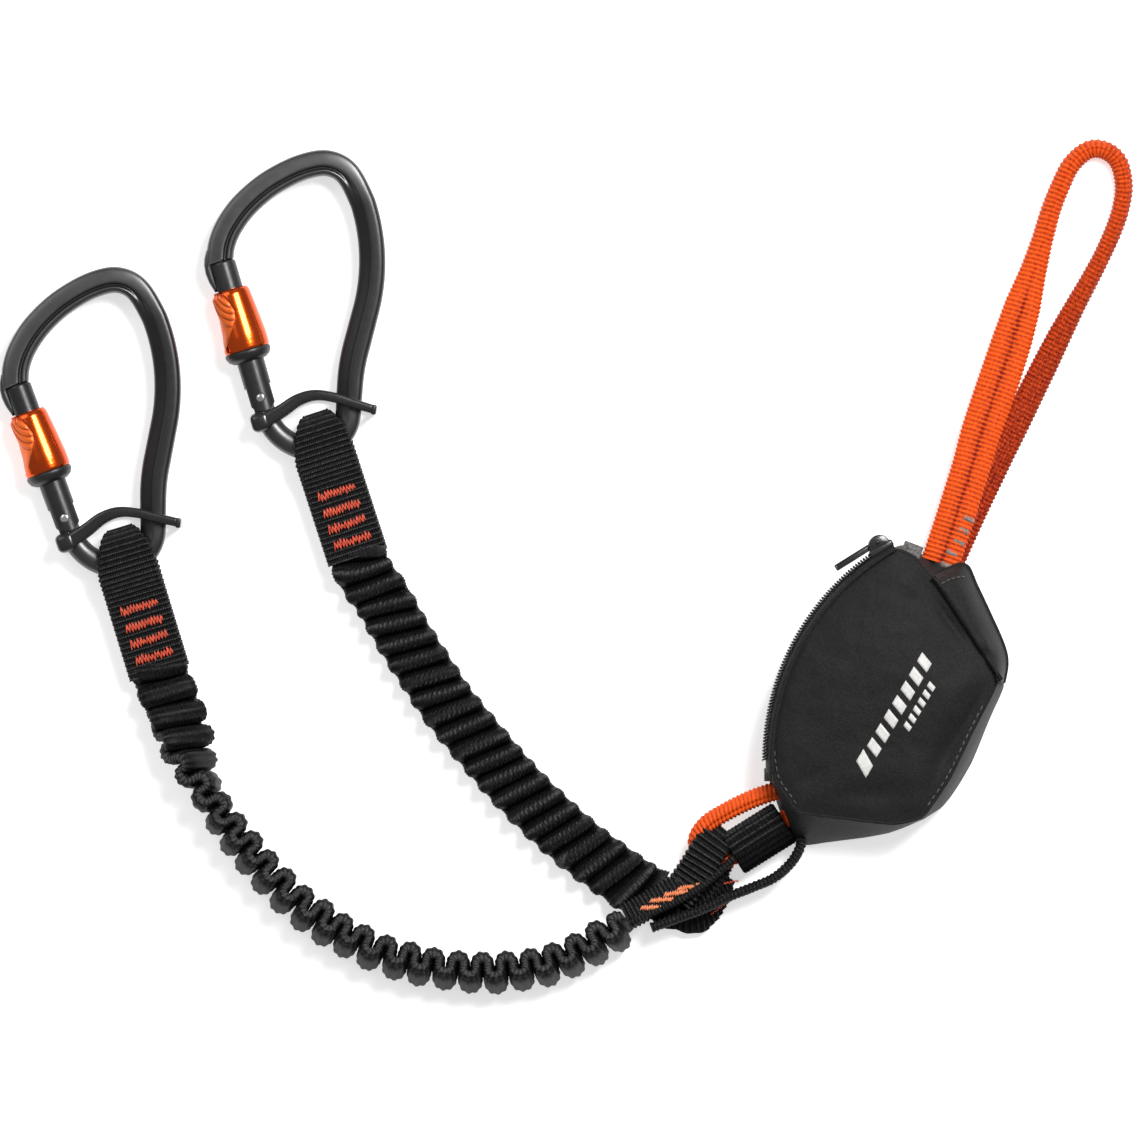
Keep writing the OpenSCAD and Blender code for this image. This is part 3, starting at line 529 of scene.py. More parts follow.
def bar_object(name, side):
    """Forged frame: hinge tongue, basket, spine, bow and nose lip."""
    route = bar_route()
    s = arc(route[:, :2])
    share = s / s[-1]
    # Shares of the route where the basket, spine, shoulder, bow and nose end
    ends = np.cumsum([0, 23.8, 22, 12, 14.4, 15.5, 49.1, 23.9, 29, 24.4])
    mark = ends / ends[-1]
    half_w = np.interp(share, mark, [4.3, 4.7, 5.0, 5.2, 5.4, 5.3, 5.0, 5.2, 5.4, 5.3])
    bow = smoothstep(share, mark[6] - 0.06, mark[7] - 0.05)
    rounded = 1 - smoothstep(share, mark[1], mark[3])
    shares = [bow * (1 - rounded), (1 - bow) * (1 - rounded), rounded]
    half = sum(finer(section)[None] * w[:, None, None] for section, w in zip((BOW, SPINE, ROUND), shares))
    full = np.concatenate([half, (half * [1, -1])[:, -2:0:-1]], 1)
    heading = np.radians(route[:, 2])
    out = np.stack([np.sin(heading), -np.cos(heading), 0 * heading], 1)
    centre = np.column_stack([route[:, :2], 0 * heading])
    rings = centre[:, None] + out[:, None] * (full[..., :1] * half_w[:, None, None])
    rings[..., 2] = full[..., 1]
    # The hinge end is drawn in over its first few rings
    for row in range(7):
        rings[row] = centre[row] + (rings[row] - centre[row]) * (1 - 0.16 * (1 - row / 7) ** 2)
    # The nose end is hollowed to the arc that the gate's end sweeps about the hinge
    reach = np.hypot(rings[-60:, :, 0], rings[-60:, :, 1])
    rings[-60:, :, :2] *= np.maximum(1, (GATE_REACH + 0.07) / reach)[..., None]
    bar = outward(tube_object(name, rings, M["black_alloy"]))
    # The spine is painted a little darker than the bow, as painted shade
    painted(bar, np.repeat((0.75 * (1 - bow) * (1 - 0.7 * rounded))[:, None], rings.shape[1], 1))
    tongue = rounded_plate("tongue", tongue_outline(), -2.5, 2.5, 0.3, M["black_alloy"])
    return joined(name, [carry(part, side) for part in (bar, tongue, nose_lip())])


def carry(obj, side, where=None):
    """Moves a mesh from the carabiner's frame, or from the frame where, to its place."""
    m = place(RIVET_AT[side], GATE_TURN[side]) if where is None else where
    m.translation *= MM
    obj.data.transform(m)
    return obj


def tongue_outline():
    turns = np.radians(np.linspace(0, 48.6, 8))
    right = [(4 * math.cos(t), 4 * math.sin(t)) for t in turns]
    left = [(-x, y) for x, y in reversed(right)]
    return np.array([(4, -7)] + right + left + [(-4, -7)])


def rounded_plate(name, outline, z0, z1, edge, material):
    """Flat plate with softened edges: rings drawn in towards the outline's middle at top and bottom."""
    p = np.asarray(outline, float)
    inwards = unit(p.mean(0) - p)
    low = [(z0, edge), (z0 + 0.3 * edge, 0.3 * edge), (z0 + edge, 0)]
    high = [(z1 - edge, 0), (z1 - 0.3 * edge, 0.3 * edge), (z1, edge)]
    rings = [np.column_stack([p + inwards * inset, np.full(len(p), z)]) for z, inset in low + high]
    return outward(tube_object(name, np.array(rings), material))


PIPE = stadium(2, 2, 20)


def nose_lip():
    """Lip that carries on from the bow's outer edge and hugs the gate's outer side, down to a thin tip."""
    top, tip = 61.5, 44.6
    y = np.linspace(top, tip, 36)
    share = (top - y) / (top - tip)
    outer = np.interp(y, [tip, 49, 52.6, 56, 58.5, top], [-5.75, -7.0, -7.35, -7.0, -6.2, -4.4])
    inner = np.interp(y, [tip, 55.0, 56.5, top], [-4.15, -4.15, -3.2, -1.0])
    square = np.sign(PIPE) * np.abs(PIPE) ** 0.65
    end = np.sqrt(np.maximum(0.04, 1 - np.maximum(0, share - 0.93) ** 2 / 0.005))
    x = (outer + inner)[:, None] / 2 + (inner - outer)[:, None] / 2 * square[:, 0]
    z = (3.6 * (1 - 0.45 * share**2) * end)[:, None] * square[:, 1]
    return outward(tube_object("lip", np.stack([x, y[:, None] + 0 * x, z], -1), M["black_alloy"]))


def sleeve_object(name, side):
    """Lock sleeve: a lathe whose outer side has a shallow thumb scoop with ripples near its top."""
    y_line = [19.5, 20.2, 21.5, 23.5, 25, 29, 34, 39, 42, 43.2, 43.8, 44]
    r_line = [8.9, 9.25, 9.3, 9.3, 9.25, 8.95, 8.5, 8.0, 7.7, 7.35, 6.9, 6.4]
    # Half angle that the scoop takes up at each height
    edge_y = [21.2, 22.4, 24.2, 26.5, 29.5, 32.5, 35.5, 39, 42, 44]
    edge_a = [18, 34, 47, 58, 74, 87, 90, 82, 70, 62]
    cols = 300
    y = np.linspace(19.5, 44, 220)[:, None]
    turn = np.linspace(0, TAU, cols, endpoint=False)[None]
    off = np.abs((turn + math.pi) % TAU - math.pi)
    edge = np.radians(np.interp(y, edge_y, edge_a))
    inside = (edge - off) * 8.6
    depth = 0.8 * smoothstep(inside, -0.12, 0.3)
    dish = 0.5 * smoothstep(inside, 0.2, 6) * smoothstep(y, 22, 28)
    # Ripples are arcs round a point above the scoop's upper end
    away = np.hypot(off * 8.4 - 12.5, (y - 45.5) * 0.8)
    groove = np.abs(np.sin(math.pi * (away - 0.2) / 2.15)) ** 0.6
    zone = smoothstep(inside, 0.5, 1.6) * smoothstep(13.6 - away, 0, 0.6) * smoothstep(away, 2.2, 2.8)
    floor_r = 7.3 - 1.2 * smoothstep(y, 41.5, 43.4)
    r = np.maximum(np.interp(y, y_line, r_line) - depth - dish, floor_r) + 0.5 * groove * zone
    # The scoop faces the carabiner's outer side, -X
    outer = np.stack([-r * np.cos(turn), y + 0 * turn, r * np.sin(turn)], -1)
    bore = np.array([(7.0, 43.9), (5.9, 43.9), (5.55, 43.6), (5.5, 41.6), (7.2, 41.5), (7.2, 19.6), (8.6, 19.5)])
    radius, height = bore[:, :1], bore[:, 1:]
    inner = np.stack([-radius * np.cos(turn), height + 0 * turn, radius * np.sin(turn)], -1)
    obj = tube_object(name, np.vstack([outer, inner]), M["orange_alloy"], closed=True)
    # Painted shade: the ripples' grooves and a line along the scoop's edge are painted dark
    dark = (1 - groove) ** 1.3 * zone + 0.75 * np.exp(-((inside / 0.28) ** 2))
    painted(obj, np.concatenate([np.clip(dark, 0, 1).ravel(), np.zeros(len(bore) * cols)]))
    obj.data.materials.append(M["orange_scoop"])
    x, y, z = (np.array([p.center for p in obj.data.polygons]) / MM).T
    in_scoop = np.arctan2(np.abs(z), -x) < np.radians(np.interp(y, edge_y, edge_a)) - 0.03
    obj.data.polygons.foreach_set("material_index", (in_scoop & (np.hypot(x, z) > 7.3)).astype(int))
    return carry(outward(obj), side)


def lathe(profile, count):
    """Rings about the Y axis from a profile of (radius, y)."""
    a = np.linspace(0, TAU, count, endpoint=False)
    return np.array([np.column_stack([q * np.cos(a), y + 0 * a, q * np.sin(a)]) for q, y in profile])


def gate_end(name, side):
    """Domed end face of the gate: it turns about the hinge, just inside the nose."""
    profile = [(5.15, 54.0), (5.15, 54.5), (5.05, 54.9), (4.85, 55.2), (4.6, 55.38)]
    profile += [(q, math.sqrt(GATE_REACH**2 - q * q)) for q in (4.3, 3.6, 2.4, 1.2, 0.1)]
    return carry(outward(tube_object(name, lathe(profile, 48), M["gate_black"])), side)


def coil(name, side, radius, wire, turns, low, high):
    """Round-wire spring about the gate's axis."""
    a = np.linspace(0, TAU * turns, int(turns * 28) + 1)
    y = np.linspace(low + wire / 2, high - wire / 2, len(a))
    out = np.column_stack([np.cos(a), 0 * a, np.sin(a)])
    up = np.broadcast_to([0.0, 1.0, 0.0], out.shape)
    k = np.linspace(0, TAU, 8, endpoint=False)[None] + 0 * a[:, None]
    middle = out * radius + up * y[:, None]
    rings = section_rings(middle, out, up, wire / 2 * np.cos(k), wire / 2 * np.sin(k))
    return carry(outward(tube_object(name, rings, M["steel"])), side)


def keeper_object(name, side):
    """Rubber keeper: rounded arms over and under the webbing, with blocks at both ends."""
    line = [(-2.4, -9.6), (6.0, -7.4), (13.5, -5), (20.5, -5), (27.5, -8), (34.5, -12.6), (40.6, -16.6)]
    way = spline(line, 0.7)
    share = arc(way) / arc(way)[-1]
    half = np.interp(share, [0, 0.08, 0.3, 0.6, 1], [3.0, 2.7, 2.4, 1.95, 1.75])
    shape = stadium(2, 2, 28)
    shape = np.sign(shape) * np.abs(shape) ** 0.7
    scale = np.stack([half, np.full(len(way), 1.35)], 1)
    parts = [
        sweep("arm", np.column_stack([way, np.full(len(way), z)]), shape, M["rubber"], scale) for z in (7.1, -7.1)
    ]
    parts.append(block((-6.6, -12.9, -8.6), (1.2, -5.4, 8.6), 2.3, M["rubber"]))
    end = block((-0.9, -2.0, -8.4), (1.2, 2.0, 8.4), 0.8, M["rubber"])
    parts.append(carry(end, side, place((41.0, -17.0), -24, 0)))
    return joined(name, [carry(outward(p), side) for p in parts])


def block(low, high, edge, material):
    """Box with rounded edges."""
    low, high = np.array(low, float), np.array(high, float)
    mesh = bpy.data.meshes.new("block")
    bm = bmesh.new()
    bmesh.ops.create_cube(bm, size=1)
    for v in bm.verts:
        v.co = Vector(((low + high) / 2 + np.array(v.co) * (high - low)) * MM)
    bmesh.ops.bevel(bm, geom=bm.edges[:], offset=edge * MM, segments=4, profile=0.5, affect="EDGES")
    bm.to_mesh(mesh)
    bm.free()
    mesh.shade_smooth()
    box_uvs(mesh)
    return link("block", mesh, material)


def box_uvs(mesh):
    """UVs in metres, projected along each face's main direction."""
    layer = mesh.uv_layers.new(name="UVMap") if not mesh.uv_layers else mesh.uv_layers[0]
    for poly in mesh.polygons:
        k = int(np.argmax(np.abs(poly.normal)))
        a, b = [(1, 2), (0, 2), (0, 1)][k]
        for loop in poly.loop_indices:
            co = mesh.vertices[mesh.loops[loop].vertex_index].co
            layer.data[loop].uv = (co[a], co[b])


def soften(node, width, material):
    """Rounds the edges of a CAD node that stays in view, and gives it its finish."""
    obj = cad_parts[node]
    obj.modifiers.new("weld", "WELD").merge_threshold = 0.00001
    bevel = obj.modifiers.new("bevel", "BEVEL")
    bevel.width = width * MM
    bevel.segments = 3
    bevel.limit_method = "ANGLE"
    bevel.angle_limit = math.radians(35)
    bevel.harden_normals = False
    obj.modifiers.new("normals", "WEIGHTED_NORMAL").keep_sharp = True
    obj.data.shade_smooth()
    obj.data.materials.clear()
    obj.data.materials.append(M[material])


# ---------------------------------------------------------------- end webbing
def strap_outline(width, thick, count=56, bead=0.25):
    """Section of a webbing strap: thicker beads along both edges, with a groove beside each."""
    p = stadium(width, thick, count)
    edge = width / 2 - np.abs(p[:, 0])
    swell = 1 + bead * np.exp(-(((edge - 0.9) / 0.55) ** 2)) - 0.45 * bead * np.exp(-(((edge - 2.1) / 0.4) ** 2))
    return np.column_stack([p[:, 0], p[:, 1] * swell])


def strap(name, path, width, thick, material, rib, height, tilt=0.0, edge=0.3, across_dir=None, seed=1):
    """Webbing swept along a path with cross ribs in its surface. width may vary along the path."""
    count = 56
    s = arc(path)
    along, across, up = frames(path)
    if across_dir is not None:
        across = np.broadcast_to(np.asarray(across_dir, float), path.shape)
        up = np.cross(along, across)
    side, top = rolled(across, up, np.full(len(path), tilt))
    width = np.broadcast_to(np.asarray(width, float), s.shape)
    flat = strap_outline(float(width.max()), thick, count)
    x_share = flat[:, 0] / (width.max() / 2)
    drift = np.random.default_rng(seed).normal(0, 0.15, 40)
    wave = np.sin(TAU * s / rib + np.interp(s, np.linspace(0, s[-1], 40), drift))[:, None]
    inner = smoothstep(1 - np.abs(x_share), 0.02, 0.1)
    scallop = edge * np.sin(TAU * s / rib + 1.2)[:, None] * (np.abs(x_share) > 0.9)
    lift = np.sign(flat[:, 1]) * height * np.sign(wave) * np.abs(wave) ** 0.8 * inner
    rings = section_rings(path, side, top, x_share * (width[:, None] / 2 + scallop), flat[:, 1] + lift)
    u = np.append(flat[:, 0], flat[0, 0]) + 20
    # Painted highlight: the ribs are paler on their tops, and the edges take a middle tone
    pale = (0.5 + 0.5 * wave) ** 1.5 * inner + 0.5 * (1 - inner)
    return painted(tube_object(name, rings, material, u=u), pale)


def zigzag(name, centre, length, height, pitch, radius, material, z, turn=0, seed=0, tilt=0.0):
    """Bar tack: one thread sewn up and down over and over, with uneven stitches."""
    rng = np.random.default_rng(seed)
    count = int(length / pitch)
    x = np.linspace(-length / 2, length / 2, count) + rng.normal(0, 0.05, count)
    y = np.where(np.arange(count) % 2, 0.5, -0.5) * height + rng.normal(0, 0.09 * height, count)
    t = np.array([0.0, 0.25, 0.5, 0.75])
    px = (x[:-1, None] + np.diff(x)[:, None] * t).ravel()
    py = (y[:-1, None] + np.diff(y)[:, None] * t).ravel()
    pz = z + radius * 0.35 + 0.22 * np.tile(np.sin(math.pi * t), count - 1)
    obj = sweep(name, np.column_stack([px + tilt * py, py, pz]), stadium(2, 2, 6), material, radius)
    return carry(obj, None, place(centre, turn, 0))


def to_web(obj, side):
    return carry(obj, side, place(WEB_AT[side], WEB_TURN[side]))


def end_strap(side):
    """The end webbing, folded round the bar and sewn to itself: one strap from face to face."""
    low = [(-45.5, 1.45), (-30, 1.45), (-18, 1.5), (-13, 1.75), (-9, 3.2), (-5, 5.3), (-1, 6.4), (4, 6.7)]
    turn = [(5.6 + 6.6 * math.sin(a), 6.6 * math.cos(a)) for a in np.radians(np.linspace(12, 168, 9))]
    y, z = spline(low + turn + [(y, -z) for y, z in reversed(low)], 0.25).T
    right = np.interp(y, [-45, 1, 6, 9, 11, 12.2], [12, 12, 11.2, 9.4, 8.4, 6.6])
    left = np.interp(y, [-45, -4, 2, 7, 10, 11.4, 12.2], [12, 12, 10.8, 8.6, 6.8, 5.4, 3.6])
    path = np.column_stack([(right - left) / 2, y, z])
    name, width = f"{side}_end_strap", right + left
    obj = strap(name, path, width, 2.5, M["black_webbing"], 2.1, 0.42, across_dir=(1, 0, 0), seed=3)
    return to_web(outward(obj), side)


# ---------------------------------------------------------------- pleated arms
def pleated(name, route, first, last, material, seed, pitch, fold, full, width, roll, amp, skew, ends, rim, shade):
    """Elastic arm: a ribbon gathered in pleats along a route, from share first to share last of it.

    width, roll (degrees), amp and skew (degrees) are each given at shares of the route, as pairs.
    """
    line = spline(route, 0.5)
    s = arc(line)
    total = s[-1]
    turns = total / pitch
    _, across, up = frames(line)
    t = np.linspace(first * turns * TAU, last * turns * TAU, int((last - first) * turns * 96))
    share = t / TAU / turns
    rng = np.random.default_rng(seed)

    def read(table):
        return np.interp(share, *zip(*table))[:, None]

    def uneven(count, size):
        return np.interp(t, np.linspace(0, turns * TAU, count), rng.normal(0, size, count))[:, None]

    def along(values, at):
        return np.stack([np.interp(at, s, values[:, k]) for k in range(3)], -1)

    phase = t[:, None] + uneven(int(turns), 0.16)
    size = 1 + uneven(int(turns * 1.3), 0.06)
    # h runs across the ribbon from edge to edge; the folds slant, so they come later towards one edge
    h = np.sin(np.linspace(-1, 1, 17) * math.pi / 2)
    half = read(width) / 2
    phi = TAU / pitch * np.tan(np.radians(read(skew))) * half * h
    phase = phase + phi
    ease = (smoothstep(share, *ends[0]) * (1 - smoothstep(share, *ends[1])))[:, None]
    edge_amp, mid_amp = read(amp[0]), read(amp[1])
    offset = (edge_amp + (mid_amp - edge_amp) * (1 - h**4)) * ease * size * np.sin(phase)
    at_s = np.clip(t[:, None] / TAU * pitch - fold * pitch / TAU * np.sin(2 * phase) * ease, 0, total)
    turn = np.radians(read(roll))[..., None]
    side, top = along(across, at_s), along(up, at_s)
    wide = side * np.cos(turn) + top * np.sin(turn)
    normal = top * np.cos(turn) - side * np.sin(turn)
    reach = half * (1 + 0.05 * np.sin(phase)) * h
    mid = along(line, at_s) + wide * reach[..., None] + normal * offset[..., None]
    outwards = np.gradient(mid, h, axis=1)
    n = unit(np.cross(np.gradient(mid, axis=0), outwards))
    outwards = unit(outwards)
    length = arc(mid[:, 8])
    # Ribs follow the folds, so they slant across the width as the folds do
    rib = np.sin(TAU * np.interp(t[:, None] + phi, t, length) / 1.6)
    crest = np.abs(np.sin(phase)) ** 3
    body = 1 - smoothstep(np.abs(h), 0.8, 0.97)
    thick = 1.5 + full * body + 0.3 * crest + 0.27 * rib * (0.5 + 0.6 * crest)
    face = n * (thick * (1 - rim * smoothstep(np.abs(h), 0.86, 1)) * 0.92)[..., None]
    # Braided edges: a rounded bead that swells with every rib
    braid = np.sin(TAU * length / 1.6 + 1.0)[:, None]

    def bead(k, sign):
        """Ring points round one edge, from the face that comes first to the other."""
        out = sign * outwards[:, k] * (1.15 + 0.22 * braid)
        lift = sign * n[:, k] * thick[:, k, None] * 0.5
        return np.stack([mid[:, k] + out * 0.75 + lift, mid[:, k] + out, mid[:, k] + out * 0.75 - lift], 1)

    rings = np.concatenate([mid + face, bead(-1, 1), (mid - face)[:, ::-1], bead(0, -1)], 1)
    u = np.arange(rings.shape[1] + 1) / rings.shape[1] * 56
    obj = outward(tube_object(name, rings, material, u=u, v=length))
    # Painted highlight on the fold crests and rib tops, with painted shade between them, and a paler painted
    # highlight along the braided edges
    tone = shade * (0.2 + 0.8 * crest) * (0.1 + 0.9 * (0.5 + 0.5 * rib) ** 1.5)
    bead_tone = np.repeat(1.05 + 0.22 * braid, 3, 1)
    return painted(obj, np.concatenate([tone, bead_tone, tone[:, ::-1], bead_tone], 1))


# Share of an arm's route where the stretching piece meets the one at the junction
ARM_CUT = 0.8

# How each arm is gathered: pairs are (share of the route, value)
LEFT_LOOK = dict(
    pitch=9.9, fold=0.52, full=0.95, rim=-0.3, shade=0.75, ends=((0.0, 0.03), (0.975, 1.0)),
    width=[(0, 20), (0.12, 19.6), (0.22, 18.6), (1, 18.6)],
    roll=[(0, 0), (0.06, -4), (0.13, -35), (0.2, -85), (0.27, -102), (0.35, -108), (1, -108)],
    amp=([(0, 3.0), (0.1, 3.3), (1, 3.3)], [(0, 3.4), (0.15, 4.2), (0.25, 4.5), (1, 4.5)]),
    skew=[(0, -8), (0.15, -6), (0.3, -2), (1, -2)],
)
RIGHT_LOOK = dict(
    pitch=8.2, fold=0.12, full=0.2, rim=0.28, shade=1.15, ends=((0.0, 0.035), (0.97, 1.0)),
    width=[(0, 20), (1, 20)],
    roll=[(0, 0), (1, 0)],
    amp=([(0, 3.4), (0.8, 4.0), (1, 3.5)], [(0, 3.6), (0.8, 4.4), (1, 3.8)]),
    skew=[(0, -14), (0.2, -17), (0.9, -17), (1, -8)],
)


# Route, look and the place where each arm turns at the junction
ARMS = {
    "left": (LEFT_ROUTE, LEFT_LOOK, (25.5, -137, 12)),
    "right": (RIGHT_ROUTE, RIGHT_LOOK, (37, -131.5, 6)),
}


# ---------------------------------------------------------------- harness loop
HARNESS_ROUTE = [
    (146, 1.5, 16.4), (148.5, 9, 16.6), (151.5, 18, 16.4), (155, 29, 15.5), (158.5, 40, 14), (162, 52, 12),
    (166.5, 65, 10), (171, 78, 8.5), (175, 90, 7), (179, 103, 6), (183, 116, 5), (186.5, 128, 4.5),
    (190, 140, 4.2), (193.5, 149, 4.2), (198, 158, 4.2), (204.5, 163.6, 4.2), (211, 163.6, 4.2),
    (216.5, 159, 4.2), (218.6, 150, 4.2), (217.5, 141, 4.2), (214.5, 132, 4.2), (210, 122, 4.2),
    (205, 112.5, 4.2), (199.5, 102.5, 4.2), (194, 92, 4.2), (188.5, 81, 4.4), (182.5, 69, 4.8),
    (176.5, 57, 5.5), (170.5, 45.5, 6.8), (164.5, 34, 8.4), (159, 23.5, 10), (153.5, 12, 11), (149.5, 3, 11),
]
# Half width and half thickness at each of those points: flat where it leaves the pouch, folded in the bend
HARNESS_HALF = [
    *[(7.5, 2.3)] * 5, (7.8, 2.3), (8, 2.3), (8, 2.3), (7.8, 2.4), (7, 2.6), (5.2, 3.1), (4.2, 3.6), (3.9, 3.8),
    (3.8, 3.8), (3.7, 3.8), *[(3.6, 3.8)] * 3, (3.5, 3.8), *[(3.4, 3.8)] * 3, (3.6, 3.8), (4, 3.8), (4.6, 3.5),
    (5, 3.2), (5.2, 2.9), (5.4, 2.6), (5.6, 2.4), (6, 2.3), (6.4, 2.3), (6.6, 2.3), (6.6, 2.3),
]


def cord(name, line, x, y, material, pale):
    """Closed section (x, y) swept along a line, painted with pale."""
    _, across, up = frames(line)
    return painted(outward(tube_object(name, section_rings(line, across, up, x, y), material)), pale)


def harness_object():
    """Harness loop: one strap, flat at the pouch and folded lengthwise round the bend."""
    line = spline(HARNESS_ROUTE, 0.3)
    s = arc(line)
    share = s / s[-1]
    key = arc(np.array(HARNESS_ROUTE, float))
    hw, ht = (np.interp(share, key / key[-1], half)[:, None] for half in np.array(HARNESS_HALF).T)
    a = np.arange(72) / 72 * TAU
    flatness = np.clip((hw / ht - 1.1) / 1.6, 0, 1)
    x = np.sign(np.cos(a)) * np.abs(np.cos(a)) ** (1 - 0.55 * flatness)
    y = np.sign(np.sin(a)) * np.abs(np.sin(a)) ** (1 - 0.25 * flatness)
    # Cross ribs that meet at a slight angle along the centre crease
    wave = np.sin(TAU * s[:, None] / 1.8 + 0.9 * np.abs(x))
    crease = 1 - 0.3 * np.exp(-((x / 0.07) ** 2))
    # The strand that comes back from the bend lies in the shade of its own fold
    shade = np.interp(share, [0, 0.3, 0.45, 0.55, 0.75, 1], [1, 1, 0.75, 0.6, 0.2, 0.12])[:, None]
    shade = shade * (1 - 0.45 * smoothstep(x, -0.1, 0.9) * (share[:, None] > 0.5))
    # Painted highlight on the ribs' tops, and a painted shade along the centre crease where the strap lies flat
    pale = (0.65 + 0.35 * wave - 0.5 * np.exp(-((x / 0.045) ** 2)) * flatness) * shade
    x, y = x * (hw + 0.25 * wave * np.abs(x)), y * ht * crease + np.sign(y) * 0.36 * wave
    return cord("harness_strap", line, x, y, M["orange_webbing"], pale)


# ---------------------------------------------------------------- junction
def cord_braid(name, route, radius, pitch, material, strands, depth):
    """Rolled webbing: a round cord with slanted ribs, and a groove where its edges meet."""
    line = spline(route, 0.35)
    a = np.arange(40) / 40 * TAU
    wave = np.sin(TAU * arc(line)[:, None] / pitch + strands * a)
    groove = np.exp(-((((a - 0.9) % TAU) - 0.2) ** 2) / 0.02)
    r = radius * (1 + depth * 0.12 * wave) - 0.9 * groove
    # The ribs are painted paler on their tops, as painted highlight
    return cord(name, line, r * np.cos(a), r * np.sin(a), material, 0.65 + 0.35 * wave)


ABSORBER_ROUTE = [
    (95, -83.5, 16), (87, -86, 16), (79, -88.5, 16), (71, -91.5, 15.5), (62, -96, 15), (54.5, -101, 14),
    (51, -107.5, 12.5), (54, -114, 11), (60.5, -115.5, 10.5), (67, -111.5, 10.5), (74, -106.5, 11),
    (81, -101.5, 12), (88, -97, 13), (95, -92.5, 14),
]
REST_ROUTE = [
    (33, -141.5, 8), (43, -137.8, 8), (53, -134.2, 8), (63, -129.5, 8), (73, -125.5, 8),
    (81, -122, 8), (87, -117, 8), (90.5, -112, 8),
]
LEFT_TAIL = [(23, -137.2, 12.4), (28, -134.6, 12.6), (38, -128.8, 12.8), (47, -123.4, 12.8)]
LEFT_TAIL_EDGE = [
    (24.4, -139.4, 14.4), (30, -136.9, 14.8), (42, -131.4, 15.4), (52, -125.6, 16.2), (59.5, -119.2, 17.0),
    (65.6, -113.6, 17.4),
]
RIGHT_TAIL = [(x, y, 4.4) for x, y in ((38, -131), (41.5, -130.3), (45, -130), (51, -127), (56, -122), (60, -115))]
EYE_ROUTE = [
    (43.5, -129.5, 9), (46.5, -125.0, 12.6), (50.5, -118.8, 15.2), (54.2, -112.6, 16.4), (58.0, -107.2, 15.6),
    (61.2, -103.6, 12.0),
]


def band_object():
    """Folded sleeve of webbing round the absorber loop: a ribbed upper face and a plain lower one."""
    centre = np.array([74.5, -106.8, 9.8])
    turn = math.radians(32)
    ux = np.array([math.cos(turn), math.sin(turn), 0])
    uy = np.array([-math.sin(turn), math.cos(turn), 0])
    # Round the loop's two strands, as (across, up) from the band's middle
    profile = [
        (8.6, 0), (8.4, 4.5), (7.3, 7.6), (5, 8.9), (2.6, 9.0), (0.6, 8.7), (-0.4, 8.2), (-3, 6.6), (-6, 4.4),
        (-8.2, 1.9), (-8.9, -1.5), (-8.6, -5.5), (-6.5, -8.2), (-2, -8.9), (3, -8.9), (7, -8.0), (8.5, -4.5),
    ]
    ring = spline(profile, 0.35, closed=True)
    rib = np.sin(TAU * np.arange(len(ring)) * 0.35 / 2.9)
    upper = (ring[:, 0] > -0.4) & (ring[:, 1] > 0)
    span = np.linspace(-11.4, 12.8, 84)[:, None]
    end = 1 - 0.1 * np.maximum(0, np.abs(span - 0.7) - 11.1) ** 1.5
    swell = np.where(upper, 0.55, 0.16) * rib + 0.12 * np.sin(TAU * span / 1.6)
    p = ring * end[..., None] + unit(ring) * swell[..., None]
    rings = centre + ux * span[..., None] + p[..., :1] * uy + p[..., 1:] * UP
    band = outward(tube_object("band_wrap", rings, M["black_webbing"]))
    # Painted highlight on the upper face's ribs; elsewhere the band is painted dark
    return painted(band, np.tile(np.where(upper, 0.95 * (0.5 + 0.5 * rib) ** 2, 0.12), (len(span), 1)))


# ---------------------------------------------------------------- pouch
def zip_outline():
    """The pouch's edge along the zip: an arc round the zip's centre."""
    a = np.radians(np.arange(120, 180.01, 4))
    return [tuple(ZIP_CENTRE + ZIP_R * np.array([math.cos(t), math.sin(t)])) for t in a]


BASE_OUTLINE = zip_outline() + [
    (80.5, -86), (84, -97), (90.5, -109), (104, -108), (126.5, -104.5), (141, -98.5), (151, -90), (159, -77),
    (166, -60), (171, -47.5), (169.5, -35), (163, -19), (156, -2), (147, 1.6), (137, 5.8), (131, 7.2),
]
FRONT_OUTLINE = zip_outline() + [
    (81.5, -83.5), (86, -90), (90.5, -95.5), (104, -97.5), (127, -100), (138, -97.5), (143, -91.5),
    (149.5, -81.5), (158, -64), (167.5, -45), (165.5, -37), (156, -23.5), (143, -5), (140, -1.5),
    (135.5, 3.6), (131, 6),
]
POUCH_MID = np.array([124.0, -50.0])


def loop_points(points, per=9):
    """Closed outline, a little flatter than a smooth curve, with per points for each control point."""
    t = np.linspace(0, 1, per, endpoint=False)
    return np.vstack([0.6 * curve + 0.4 * (b + (c - b) * u) for b, c, u, curve in through(points, t, True)])


FRONT_RING = loop_points(FRONT_OUTLINE)
BASE_RING = loop_points(BASE_OUTLINE)


# The front panel's dents: (x, y, turn in degrees, half length, half width, depth)
DENTS = [
    (147, -72, 60, 14, 5, 1.3), (158, -58, 62, 12, 3, 0.8), (120, -88, 5, 16, 4, 0.7), (97, -82, 40, 9, 4, 0.6),
    (150, -22, -55, 12, 2.2, 0.9), (163, -34, -50, 7, 1.4, 0.8), (133, -12, -30, 9, 3, 0.5),
    (139, -80, 60, 16, 5, -0.6), (152, -50, 62, 14, 5, -0.5),
]


def folds(x, y):
    """Soft dents and puckers of the front panel, in mm."""
    z = 0 * x
    for cx, cy, turn, long, short, depth in DENTS:
        c, s = math.cos(math.radians(turn)), math.sin(math.radians(turn))
        a, b = ((x - cx) * c + (y - cy) * s) / long, ((y - cy) * c - (x - cx) * s) / short
        z = z - depth * np.exp(-(a * a + b * b))
    rough = [noise.fractal(Vector((a / 26, b / 26, 4.0)), 0.9, 2.0, 4) for a, b in zip(x.ravel(), y.ravel())]
    return z + 0.55 * np.reshape(rough, np.shape(x))


